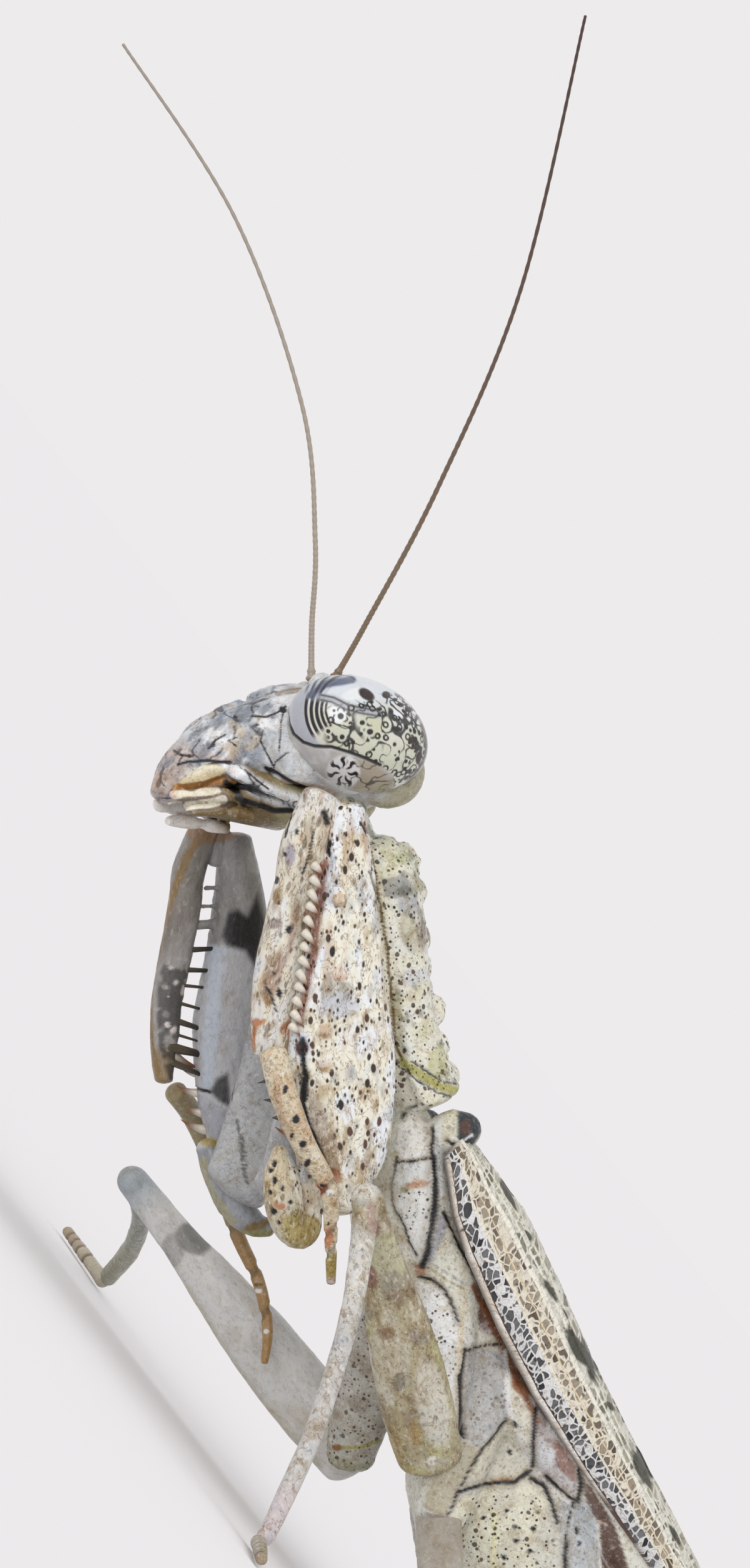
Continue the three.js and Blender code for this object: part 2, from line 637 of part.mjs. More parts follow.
const FEMUR_INNER = {
  count: 9, from: 0.42, to: 0.88, length: 0.3, half: 0.16, inset: -0.3, slant: 0.2, edge: 1,
};
const FEMUR_OUTER = {
  count: 4, from: 0.2, to: 0.42, length: 0.45, half: 0.18, inset: 0.2, slant: 0.3, edge: 1,
};
const TIBIA_ROW = {
  count: 9, from: 0.22, to: 0.85, length: 0.42, half: 0.16, inset: 0.25, slant: 0.5, edge: 1,
};

function buildForeleg(name, sign) {
  const coxaPose = forePose(name, sign, false);
  const legPose = forePose(name, sign, true);
  const femurPose = forePose(name, sign, true, FORE_LENGTH[name]);
  const femurRows = faced(FORE_FEMUR, FEMUR_FACE[name]);
  const tibiaRows = faced(FORE_TIBIA, TIBIA_FACE[name]);
  const coxaLoft = (grow = 0) => loft(poseStations(FORE_COXA, coxaPose), { rings: 8, sides: 10, grow });
  const femurLoft = (grow = 0) => loft(poseStations(femurRows, femurPose), { rings: 11, sides: 10, grow });
  const tibiaLoft = (grow = 0) => loft(poseStations(tibiaRows, legPose), { rings: 9, sides: 8, grow });
  const trochanter = loft(poseStations(FORE_TROCHANTER, femurPose), {
    side: [1, 0, 0], rings: 4, sides: 8,
  });
  const clawRoot = [-1.55, FORE_FEMUR_Y, 7.6];
  const clawAim = poseDirection(legPose, clawRoot, [1, 0, 0.1]);
  const claw = (grow = 0) => spine(legPose(clawRoot), clawAim, 1.1 + grow, 0.28 + grow, [0, 0, 0.3]);
  const spines = [FEMUR_INNER, FEMUR_OUTER].flatMap((row) => spineRow(femurRows, femurPose, row));
  const freed = spines.map((one) => clearOf(one, [tibiaLoft(GAP), claw(GAP)]));
  const femur = clearOf(join([femurLoft(), trochanter, ...freed]), [coxaLoft(GAP)]);
  const teeth = spineRow(tibiaRows, legPose, TIBIA_ROW);
  const tibia = clearOf(join([tibiaLoft(), claw(), ...teeth]), [femurLoft(GAP)]);
  addPart(`fore_coxa_${name}`, clearOf(coxaLoft(), [prothorax(GAP)]), CREAM, 0.6, lean);
  addPart(`fore_femur_${name}`, femur, CREAM, 0.6, lean);
  addPart(`fore_tibia_${name}`, tibia, CREAM, 0.6, lean);
  const path = FORE_TARSUS[name];
  const stations = path.map(([x, y, z], i) => {
    const half = Math.max(THIN, 0.4 - 0.07 * i);
    return [x, sign * y, z, THIN, half, half];
  });
  const tarsus = clearOf(loft(stations, { rings: 12, sides: 7 }), [tibiaLoft(GAP), claw(GAP)]);
  addPart(`fore_tarsus_${name}`, tarsus, OLIVE, 0.6, lean);
}

// -------------------------------------------------------------- walking legs

// Joints in the floor's frame: coxa root, trochanter, knee, heel, toe.
const WALKING_LEGS = {
  mid_left: [
    [6.75, -1.6, 8.2], [10.0, -3.3, 4.75], [2.65, -7.3, 7.7], [7.35, -9.6, 0.5], [6.95, -12.7, 0.2],
  ],
  mid_right: [
    [6.75, 0.9, 6.9], [10.15, 2.3, 2.9], [1.3, 4.7, 2.85], [4.5, 11.4, 0.45], [3.3, 14.2, 0.2],
  ],
  hind_left: [
    [9.6, -1.7, 7.3], [11.45, -3.2, 3.95], [13.6, -10.5, 1.3], [22.0, -13.4, 0.45], [24.2, -15.4, 0.2],
  ],
  hind_right: [
    [9.6, 0.9, 6.4], [11.6, 2.1, 4.4], [16.9, 9.4, 1.9], [23.2, 12.9, 0.45], [25.0, 14.5, 0.2],
  ],
};
const TIBIA_BOW = [0.3, 0, 0.4];    // how far a middle tibia's shaft is arched
const COXA_HALF = 0.86;
const FEMUR_HALF = {                // from the base to the knee
  mid: [0.84, 0.95, 0.9, 0.72, 0.5, 0.42],
  hind: [0.62, 0.6, 0.56, 0.5, 0.45, 0.42],
};
const FEMUR_FLAT = 0.62;                             // thickness over depth
const TIBIA_HALF = [0.34, 0.3, 0.3, 0.3];
const TOE_HALF = [0.27, 0.25, 0.25, 0.2];

const between = (a, b, t) => a.map((value, k) => value + (b[k] - value) * t);

// Stations from one joint to the next; `bow` is how far their middle is moved.
function shaft(from, to, halves, flat = 1, bow = [0, 0, 0]) {
  return halves.map((half, i) => {
    const t = i / (halves.length - 1);
    const centre = between(from, to, t).map((value, k) => value + 4 * t * (1 - t) * bow[k]);
    return [...centre, half * flat, half, half, 2.2];
  });
}

function floorBlock() {
  const block = new THREE.BoxGeometry(90, 90, 10);
  block.translate(0, 0, -5);
  return solidFrom([...block.attributes.position.array], [...block.index.array]);
}

function buildWalkingLeg(name, [root, trochanter, knee, heel, toe], body) {
  const [pair] = name.split('_');
  const coxaStations = shaft(root, trochanter, [COXA_HALF, COXA_HALF * 1.05, COXA_HALF * 0.8]);
  const femurStations = shaft(trochanter, knee, FEMUR_HALF[pair], FEMUR_FLAT);
  const tibiaStations = shaft(knee, heel, TIBIA_HALF, 1, pair === 'mid' ? TIBIA_BOW : [0, 0, 0]);
  const toeStations = shaft([heel[0], heel[1], 0.22], toe, TOE_HALF);
  const coxa = (grow = 0) => loft(coxaStations, { rings: 4, sides: 10, grow });
  const femur = (grow = 0) => loft(femurStations,
    { side: [0.4, 1, 0], rings: 8, sides: 10, grow, round: 1 });
  const tibia = (grow = 0) => loft(tibiaStations, { rings: 6, sides: 7, grow });
  const tarsus = loft(toeStations, { side: [1, 0, 0], rings: 5, sides: 8 });
  const partName = (segment) => name.replace('_', `_${segment}_`);
  addPart(partName('coxa'), clearOf(coxa(), [...body, femur(GAP)]), PALE, 0.6);
  addPart(partName('femur'), femur(), GREY, 0.6);
  addPart(partName('tibia'), clearOf(tibia(), [femur(GAP)]), GREY, 0.6);
  addPart(partName('tarsus'), clearOf(tarsus, [tibia(GAP), floorBlock()]), OLIVE, 0.6);
  return [coxa(GAP), femur(GAP)];
}

// ----------------------------------------------------------- the whole animal

addPart('head', buildHead(), PALE, 0.5, headPose);
addPart('mouthparts', buildMouthparts(), BROWN, 0.4, headPose);
for (const [name, sign] of SIDES) addPart(`eye_${name}`, eyeBall(sign), EYE_COLOUR, 0.2, headPose);
for (const [name] of SIDES) addPart(`antenna_${name}`, buildAntenna(name), BROWN, 0.6);
addPart('neck', buildNeck(), GREY, 0.6);
addPart('prothorax', buildProthorax(), CREAM, 0.7, lean);
addPart('pterothorax', buildPterothorax(), PALE, 0.6, lean);
addPart('abdomen', clearOf(buildAbdomen(), [pterothorax(GAP)]), CREAM, 0.6, lean);
for (const [name, sign] of SIDES) {
  const tegmen = clearOf(buildTegmen(sign), [pterothorax(GAP), ...tegulae(GAP)]);
  addPart(`tegmen_${name}`, tegmen, CREAM, 0.5, lean);
}
for (const [name, sign] of SIDES) buildForeleg(name, sign);
const body = [posed(pterothorax(GAP), lean), posed(abdomen(GAP), lean)];
for (const [name] of SIDES) {
  const midLeg = buildWalkingLeg(`mid_${name}`, WALKING_LEGS[`mid_${name}`], body);
  buildWalkingLeg(`hind_${name}`, WALKING_LEGS[`hind_${name}`], [...body, ...midLeg]);
}

for (const mesh of group.children) mesh.geometry.translate(-MIDDLE[0], -MIDDLE[1], 0);

export default group;
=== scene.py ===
"""Looks of the bark mantis: one skin over the body, dressed legs, wings, eyes and feelers.

All forms are laid out in millimetres in the frame of the part's source, and are
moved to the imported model's origin and to metres at the end.
"""
import math

import bpy
import numpy as np
from mathutils import Matrix, Vector


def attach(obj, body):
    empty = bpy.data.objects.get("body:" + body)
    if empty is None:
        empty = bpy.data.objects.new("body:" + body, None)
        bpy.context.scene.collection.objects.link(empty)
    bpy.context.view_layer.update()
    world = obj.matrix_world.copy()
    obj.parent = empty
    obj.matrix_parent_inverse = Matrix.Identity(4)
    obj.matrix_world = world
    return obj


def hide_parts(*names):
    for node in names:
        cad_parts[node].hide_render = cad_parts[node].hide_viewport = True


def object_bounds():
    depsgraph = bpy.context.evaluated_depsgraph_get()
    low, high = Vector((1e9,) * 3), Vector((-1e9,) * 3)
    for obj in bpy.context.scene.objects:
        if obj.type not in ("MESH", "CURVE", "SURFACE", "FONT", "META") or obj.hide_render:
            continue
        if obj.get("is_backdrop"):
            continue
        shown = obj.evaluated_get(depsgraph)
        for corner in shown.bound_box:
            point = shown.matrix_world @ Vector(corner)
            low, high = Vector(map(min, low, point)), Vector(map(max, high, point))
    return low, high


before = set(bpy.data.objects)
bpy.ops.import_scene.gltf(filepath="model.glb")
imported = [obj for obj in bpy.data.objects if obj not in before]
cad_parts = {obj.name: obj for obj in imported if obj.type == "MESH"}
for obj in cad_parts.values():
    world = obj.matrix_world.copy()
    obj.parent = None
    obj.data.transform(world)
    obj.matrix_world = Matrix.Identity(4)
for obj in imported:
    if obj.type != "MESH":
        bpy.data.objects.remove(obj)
camera = bpy.data.objects.new("camera", bpy.data.cameras.new("camera"))
bpy.context.scene.collection.objects.link(camera)
bpy.context.scene.camera = camera
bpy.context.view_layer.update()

MIDDLE = np.array([1.45, -0.45, 0.0])   # what the part's source moves to the origin
LEAN = math.radians(15)
LEAN_HEIGHT = 8.5
HEAD_PIVOT = np.array([-3.8, 0.0, 13.3])
HEAD_TILT = math.radians(9)
HEAD_TURN = math.radians(6)
VIEW_TURN = math.radians(12)            # the camera's side of straight across
ALONG, CLIMB = 0.6167, 0.7873           # the picture's level axis: its share along the ground and upwards
SHEET_SCALE = 62.5                      # picture-plane steps to a millimetre
SHEET_ZERO = (50, 2003)                 # where the source frame's origin lies, in those steps
MM = 0.001                              # a millimetre in metres
SIDES = (("left", -1), ("right", 1))


# ------------------------------------------------------------------ placing

def lean(p, turn=LEAN):
    """Body-frame points as the leaning body carries them; a turn of -LEAN undoes it."""
    c, s = math.cos(turn), math.sin(turn)
    h = p[:, 2] - LEAN_HEIGHT
    return np.stack([p[:, 0], p[:, 1] * c + h * s, LEAN_HEIGHT - p[:, 1] * s + h * c], 1)


def head_pose(p):
    """Points of the upright head as the tilted and turned head carries them."""
    q = p - HEAD_PIVOT
    tc, ts = math.cos(HEAD_TILT), math.sin(HEAD_TILT)
    y, z = q[:, 1] * tc + q[:, 2] * ts, -q[:, 1] * ts + q[:, 2] * tc
    c, s = math.cos(HEAD_TURN), math.sin(HEAD_TURN)
    return lean(HEAD_PIVOT + np.stack([q[:, 0] * c + y * s, -q[:, 0] * s + y * c, z], 1))


def seen(p):
    """Floor-frame points as the camera sees them: across the picture plane, and height."""
    return np.stack([p[:, 0] * math.cos(VIEW_TURN) - p[:, 1] * math.sin(VIEW_TURN), p[:, 2]], 1)


def near_side(p_body):
    """The camera's view of body-frame points, the far half mirrored to the near one."""
    q = p_body.copy()
    q[:, 1] = -np.abs(q[:, 1])
    return seen(lean(q))


# -------------------------------------------------------------------- noise

def lattice(cell, seed):
    """One pseudo-random number for each whole-number cell."""
    c = cell.astype(np.int64)
    h = (c[..., 0] * 374761393 + c[..., 1] * 668265263 + c[..., 2] * 1274126177 + seed * 974634777)
    h = (h ^ (h >> 13)) & 0xFFFFFFFF
    h = (h * 1103515245 + 12345) & 0xFFFFFFFF
    h = (h ^ (h >> 15)) & 0xFFFFFFFF
    h = (h * 2246822519) & 0xFFFFFFFF
    h = h ^ (h >> 13)
    return (h & 0xFFFFFF) / float(0xFFFFFF)


def soft_noise(p, size, seed=0):
    """Smooth noise in -1..1 with features about `size` mm across."""
    q = p / size
    base = np.floor(q)
    f = q - base
    f = f * f * (3 - 2 * f)
    out = np.zeros(len(p))
    for i in (0, 1):
        for j in (0, 1):
            for k in (0, 1):
                w = (f[:, 0] if i else 1 - f[:, 0]) * (f[:, 1] if j else 1 - f[:, 1])
                w = w * (f[:, 2] if k else 1 - f[:, 2])
                out += w * lattice(base + np.array([i, j, k]), seed)
    return out * 2 - 1


def layered(p, size, seed=0, octaves=3):
    return sum(soft_noise(p, size / 2 ** i, seed + i) / 2 ** i for i in range(octaves)) / 1.75


def grains(p, size, seed=0):
    """Distance to the nearest of scattered points about `size` mm apart, and its own number."""
    q = p / size
    base = np.floor(q)
    best = np.full(len(p), 9.0)
    ident = np.zeros(len(p))
    for i in (-1, 0, 1):
        for j in (-1, 0, 1):
            for k in (-1, 0, 1):
                cell = base + np.array([i, j, k])
                centre = cell + np.stack([lattice(cell, seed + n) for n in (11, 12, 13)], 1)
                d = np.linalg.norm(q - centre, axis=1)
                closer = d < best
                best = np.where(closer, d, best)
                ident = np.where(closer, lattice(cell, seed + 14), ident)
    return best * size, ident


def step(low, high, value):
    t = np.clip((value - low) / (high - low), 0, 1)
    return t * t * (3 - 2 * t)


def to_line(points, path):
    """Distance of flat points to a path of straight pieces."""
    path = np.array(path, float)
    best = np.full(len(points), 1e9)
    for a, b in zip(path[:-1], path[1:]):
        ab = b - a
        t = np.clip(((points - a) @ ab) / (ab @ ab), 0, 1)
        best = np.minimum(best, np.linalg.norm(points - a - t[:, None] * ab, axis=1))
    return best


# ------------------------------------------------------------------- meshes

def smooth_rows(rows, t):
    """Points at shares t on a smooth curve through equally spaced rows."""
    rows = np.array(rows, float)
    last = len(rows) - 1
    place = np.clip(t, 0, 1) * last
    i = np.minimum(place.astype(int), last - 1)
    f = (place - i)[:, None]
    a = (rows[i + 1] - rows[np.maximum(i - 1, 0)]) / 2
    b = (rows[np.minimum(i + 2, last)] - rows[i]) / 2
    return (rows[i] * (2 * f ** 3 - 3 * f ** 2 + 1) + rows[i + 1] * (3 * f ** 2 - 2 * f ** 3)
            + a * (f ** 3 - 2 * f ** 2 + f) + b * (f ** 3 - f ** 2))


def unit(v):
    return v / np.maximum(np.linalg.norm(v, axis=-1, keepdims=True), 1e-12)


class Form:
    """A mesh in the making: points, faces, and facts about each point."""

    def __init__(self, points, faces, **facts):
        self.points = np.asarray(points, float)
        self.faces = faces
        self.facts = {k: np.asarray(v, float) for k, v in facts.items()}

    def normals(self):
        out = np.zeros_like(self.points)
        for size in (3, 4):
            f = np.array([x for x in self.faces if len(x) == size])
            if len(f) == 0:
                continue
            p = self.points[f]
            n = np.cross(p[:, 2] - p[:, 0], p[:, -1] - p[:, 1]) if size == 4 else np.cross(
                p[:, 1] - p[:, 0], p[:, 2] - p[:, 0])
            for k in range(size):
                np.add.at(out, f[:, k], n)
        return unit(out)

    def push(self, amount):
        self.points = self.points + self.normals() * np.asarray(amount)[:, None]
        return self

    def move(self, place):
        self.points = place(self.points)
        return self


def ring_faces(rings, sides):
    """Quads between rings of points, and a fan at each end to the two points after the rings."""
    k = np.arange(sides)
    nxt = (k + 1) % sides
    faces = []
    for start in range(0, (rings - 1) * sides, sides):
        faces += np.stack([start + k, start + nxt, start + sides + nxt, start + sides + k], 1).tolist()
    end = rings * sides
    faces += np.stack([np.full(sides, end), nxt, k], 1).tolist()
    faces += np.stack([np.full(sides, end + 1), end - sides + k, end - sides + nxt], 1).tolist()
    return faces


CURVE_STEPS = 200      # places along a tube at which its length is measured
CAP_RINGS = 7          # rings in each rounded end


def tube(stations, side=(0, 1, 0), spacing=0.07, bulge=0.5):
    """A closed rounded tube. A station is x, y, z, half width, top, bottom, power. Fact: horn."""
    rows = [list(r) + [2.0] * (7 - len(r)) for r in stations]
    knots = np.linspace(0, 1, CURVE_STEPS)
    fine = smooth_rows(rows, knots)
    run = np.concatenate([[0], np.cumsum(np.linalg.norm(np.diff(fine[:, :3], axis=0), axis=1))])
    rings = max(6, int(run[-1] / spacing))
    t = np.interp(np.linspace(0, run[-1], rings), run, knots)
    body = smooth_rows(rows, t)
    girth = 3.5 * (body[:, 3] + (body[:, 4] + body[:, 5]) / 2).max() / 1.1
    sides = max(8, int(girth / spacing))
    tangent = unit(np.gradient(body[:, :3], axis=0))
    across = np.array(side, float)
    width = unit(across - tangent * (tangent @ across)[:, None])
    up = np.cross(tangent, width)
    swell = bulge * np.minimum(body[:, 3], (body[:, 4] + body[:, 5]) / 2)
    lifts = [math.radians(90 * (n + 0.35) / CAP_RINGS) for n in range(CAP_RINGS)]
    table = [(0, -1, a) for a in reversed(lifts)] + [(i, 0, 0.0) for i in range(rings)]
    table += [(rings - 1, 1, a) for a in lifts]
    angle = 2 * np.pi * (np.arange(sides) + 0.5) / sides
    c, s = np.cos(angle), np.sin(angle)
    points, share = [], []
    for i, sign, lift in table:
        half, top, bottom, power = body[i, 3:7]
        w = np.sign(c) * np.abs(c) ** (2 / power) * half * math.cos(lift)
        h = np.sign(s) * np.abs(s) ** (2 / power) * np.where(s > 0, top, bottom) * math.cos(lift)
        centre = body[i, :3] + tangent[i] * sign * swell[i] * math.sin(lift)
        points.append(centre + w[:, None] * width[i] + h[:, None] * up[i])
        share += [t[i]] * sides
    points += [[body[0, :3] - tangent[0] * swell[0]], [body[-1, :3] + tangent[-1] * swell[-1]]]
    return face_out(Form(np.concatenate(points), ring_faces(len(table), sides), horn=share + [0, 1]))


def face_out(form):
    f = np.array([x[:3] for x in form.faces] + [[x[0], x[2], x[3]] for x in form.faces if len(x) == 4])
    p = form.points[f]
    if np.einsum("ij,ij->i", p[:, 0], np.cross(p[:, 1], p[:, 2])).sum() < 0:
        form.faces = [x[::-1] for x in form.faces]
    return form


def ball(centre, halves, tilt=0.0, spacing=0.07):
    """An ellipsoid tilted about y, with its poles on x."""
    a, b, c = halves
    rings = max(8, int(3.2 * max(a, b) / spacing))
    sides = max(10, int(6.3 * max(b, c) / spacing))
    lat = np.pi * np.arange(1, rings) / rings
    lon = 2 * np.pi * np.arange(sides) / sides
    u, v = np.meshgrid(lat, lon, indexing="ij")
    local = np.stack([np.cos(u), np.sin(u) * np.cos(v), np.sin(u) * np.sin(v)], -1).reshape(-1, 3)
    local = np.concatenate([local, [[1, 0, 0], [-1, 0, 0]]])
    p = local * halves
    r = math.radians(tilt)
    p = np.stack([p[:, 0] * math.cos(r) + p[:, 2] * math.sin(r), p[:, 1],
                  -p[:, 0] * math.sin(r) + p[:, 2] * math.cos(r)], 1) + np.array(centre, float)
    form = face_out(Form(p, ring_faces(rings - 1, sides)))
    form.local = local
    return form


def spike(root, tip, half, hook=(0, 0, 0), sides=10, rings=9):
    """A curved horny spine from root to tip; hook bends its middle."""
    root, tip, hook = (np.array(v, float) for v in (root, tip, hook))
    t = np.linspace(0, 1, rings)
    line = root + (tip - root) * t[:, None] + hook * (4 * t * (1 - t))[:, None]
    tangent = unit(np.gradient(line, axis=0))
    helper = np.array([0, 1, 0]) if abs(tangent[0, 1]) < 0.9 else np.array([1, 0, 0])
    w = unit(np.cross(tangent, helper))
    u = np.cross(tangent, w)
    r = half * (1 - t ** 1.4) * (1 - 0.15 * t) + half * 0.05
    ang = 2 * np.pi * np.arange(sides) / sides
    p = (line[:, None] + (r[:, None] * np.cos(ang))[..., None] * w[:, None]
         + (r[:, None] * np.sin(ang))[..., None] * u[:, None]).reshape(-1, 3)
    p = np.concatenate([p, [root], [tip]])
    share = np.concatenate([np.repeat(t, sides), [0, 1]])
    return face_out(Form(p, ring_faces(rings, sides), horn=share))


def merge(*forms):
    points, faces, facts, start = [], [], {}, 0
    names = {k for f in forms for k in f.facts}
    for f in forms:
        points.append(f.points)
        faces += [[i + start for i in x] for x in f.faces]
        start += len(f.points)
    for k in names:
        facts[k] = np.concatenate([f.facts.get(k, np.zeros(len(f.points))) for f in forms])
    return Form(np.concatenate(points), faces, **facts)


def to_mesh(name, form):
    mesh = bpy.data.meshes.new(name)
    mesh.from_pydata(form.points.tolist(), [], [list(map(int, x)) for x in form.faces])
    mesh.update()
    return mesh


def fused(forms, voxel, smooth=2):
    """One skin over several closed forms that run into each other."""
    whole = merge(*forms)
    obj = bpy.data.objects.new("fuse", to_mesh("fuse", whole))
    bpy.context.scene.collection.objects.link(obj)
    remesh = obj.modifiers.new("remesh", "REMESH")
    remesh.mode = "VOXEL"
    remesh.voxel_size = voxel
    if smooth:
        relax = obj.modifiers.new("relax", "SMOOTH")
        relax.factor = 0.5
        relax.iterations = smooth
    graph = bpy.context.evaluated_depsgraph_get()
    result = obj.evaluated_get(graph).to_mesh()
    points = np.empty(len(result.vertices) * 3)
    result.vertices.foreach_get("co", points)
    faces = [list(f.vertices) for f in result.polygons]
    obj.evaluated_get(graph).to_mesh_clear()
    bpy.data.objects.remove(obj)
    return face_out(largest(Form(points.reshape(-1, 3), faces)))


MAX_ROUNDS = 400


def largest(form):
    """Only the biggest connected surface of a form."""
    parent = np.arange(len(form.points))
    quads = np.array([(x + [x[-1]])[:4] for x in form.faces])
    for _ in range(MAX_ROUNDS):
        low = parent[quads].min(axis=1)
        before = parent.copy()
        for k in range(4):
            np.minimum.at(parent, quads[:, k], low)
        parent = parent[parent]
        if (before == parent).all():
            break
    names, counts = np.unique(parent, return_counts=True)
    keep = parent == names[counts.argmax()]
    if keep.all():
        return form
    order = np.cumsum(keep) - 1
    return Form(form.points[keep], [[int(order[i]) for i in x] for x in form.faces if keep[x[0]]])


def add(name, form, material, replaces):
    """Puts a finished form into the scene, in metres at the model's origin."""
    mesh = to_mesh(name, Form((form.points - MIDDLE) * MM, form.faces))
    usual = {"cloth": form.points, "dotty": np.ones(len(form.points))}
    for key, values in (usual | form.facts).items():
        kind = "FLOAT_VECTOR" if values.ndim == 2 else "FLOAT"
        layer = mesh.attributes.new(key, kind, "POINT")
        layer.data.foreach_set("vector" if values.ndim == 2 else "value", values.astype(np.float32).ravel())
    mesh.polygons.foreach_set("use_smooth", np.ones(len(mesh.polygons), bool))
    obj = bpy.data.objects.new(name, mesh)
    bpy.context.scene.collection.objects.link(obj)
    obj.data.materials.append(material)
    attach(obj, "root")
    if replaces:
        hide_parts(*replaces)


# ---------------------------------------------------------------- materials

DOT_EDGE = 0.014       # mm over which the edge of a dot fades


class Shade:
    """Builds one node material: small helpers round the node tree."""

    def __init__(self, name):
        self.material = bpy.data.materials.new(name)
        self.material.use_nodes = True
        self.tree = self.material.node_tree
        self.shader = self.tree.nodes["Principled BSDF"]

    def node(self, kind, inputs=(), **settings):
        """A new node with its settings; inputs are the values or sources of its sockets."""
        n = self.tree.nodes.new(kind)
        for key, value in settings.items():
            setattr(n, key, value)
        self.plug_all(n, dict(inputs))
        return n

    def plug_all(self, node, inputs):
        for key, value in inputs.items():
            if value is not None:
                self.plug(node.inputs[key], value)

    def plug(self, socket, value):
        if isinstance(value, bpy.types.NodeSocket):
            self.tree.links.new(value, socket)
        elif socket.type == "RGBA" and not hasattr(value, "__len__"):
            socket.default_value = (value, value, value, 1)
        elif socket.type == "RGBA":
            socket.default_value = (*value[:3], 1)
        else:
            socket.default_value = value

    def math(self, operation, a, b=0.0):
        return self.node("ShaderNodeMath", {0: a, 1: b}, operation=operation).outputs[0]

    def vector_math(self, operation, inputs):
        return self.node("ShaderNodeVectorMath", inputs, operation=operation).outputs[0]

    def fact(self, name, vector=False):
        return self.node("ShaderNodeAttribute", attribute_name=name).outputs["Vector" if vector else "Fac"]

    def place(self, scale=1 / MM):
        """Object coordinates, as a rule in millimetres."""
        source = self.node("ShaderNodeTexCoord").outputs["Object"]
        return self.node("ShaderNodeMapping", {"Vector": source, "Scale": [scale] * 3}).outputs[0]

    def noise(self, vector, scale, detail=4.0, rough=0.55, distortion=0.0):
        inputs = {"Vector": vector, "Scale": scale, "Detail": detail, "Roughness": rough, "Distortion": distortion}
        return self.node("ShaderNodeTexNoise", inputs).outputs[0]

    def cells(self, vector, scale, feature="F1"):
        """Distance in a cell pattern, and each cell's own three numbers."""
        n = self.node("ShaderNodeTexVoronoi", {"Vector": vector, "Scale": scale}, feature=feature)
        if feature != "F1":
            return n.outputs["Distance"], None
        return n.outputs["Distance"], self.node("ShaderNodeSeparateColor", {0: n.outputs["Color"]}).outputs

    def rise(self, value, low, high, top=1.0):
        """0 where value is under low and `top` where it is over high, smoothly."""
        inputs = {"Value": value, "From Min": low, "From Max": high, "To Max": top}
        return self.node("ShaderNodeMapRange", inputs, interpolation_type="SMOOTHSTEP").outputs[0]

    def near(self, value, centre, wide, narrow):
        """1 where value is within `narrow` of centre and 0 beyond `wide`, smoothly."""
        return self.rise(self.math("ABSOLUTE", self.math("SUBTRACT", value, centre)), wide, narrow)

    def mix(self, share, a, b, blend="MIX"):
        inputs = {"Factor": share, 6: a, 7: b}
        return self.node("ShaderNodeMix", inputs, data_type="RGBA", blend_type=blend, clamp_factor=True).outputs[2]

    def warp(self, vector, scale, amount):
        """A vector shifted by coloured noise."""
        noise = self.node("ShaderNodeTexNoise", {"Vector": vector, "Scale": scale, "Detail": 2}).outputs["Color"]
        shift = self.vector_math("SUBTRACT", {0: noise, 1: (0.5, 0.5, 0.5)})
        return self.vector_math("ADD", {0: vector, 1: self.vector_math("SCALE", {0: shift, "Scale": amount})})

    def dots(self, vector, spacing, low, high, keep):
        """Scattered dots with radii from low to high mm; `keep` is the share of places filled."""
        distance, ident = self.cells(vector, 1 / spacing)
        radius = self.rise(ident[0], 0.0, 1.0, (high - low) / spacing)
        inner = self.math("SUBTRACT", self.math("SUBTRACT", distance, low / spacing), radius)
        edge = DOT_EDGE / spacing
        inside = self.rise(inner, edge, -edge)
        return self.math("MULTIPLY", inside, self.math("LESS_THAN", ident[1], keep)), ident[2]

    def bump(self, height, distance, normal=None):
        return self.node("ShaderNodeBump", {"Distance": distance * MM, "Height": height, "Normal": normal}).outputs[0]

    def finish(self, colour, rough=0.5, normal=None, specular=0.4, coat=0.0):
        self.plug_all(self.shader, {
            "Base Color": colour, "Roughness": rough, "Normal": normal, "Specular IOR Level": specular,
            "Coat Weight": coat, "Coat Roughness": 0.08})
        return self.material


WHITE = (0.68, 0.69, 0.67)
BEIGE = (0.50, 0.45, 0.33)
GREY = (0.36, 0.37, 0.38)
GREEN = (0.47, 0.47, 0.18)
OLIVE = (0.27, 0.24, 0.09)
TAN = (0.42, 0.29, 0.17)
PINK = (0.56, 0.38, 0.29)
GOLD = (0.55, 0.36, 0.13)
RUST = (0.38, 0.13, 0.04)
BROWN = (0.12, 0.06, 0.03)
INK = (0.012, 0.011, 0.012)


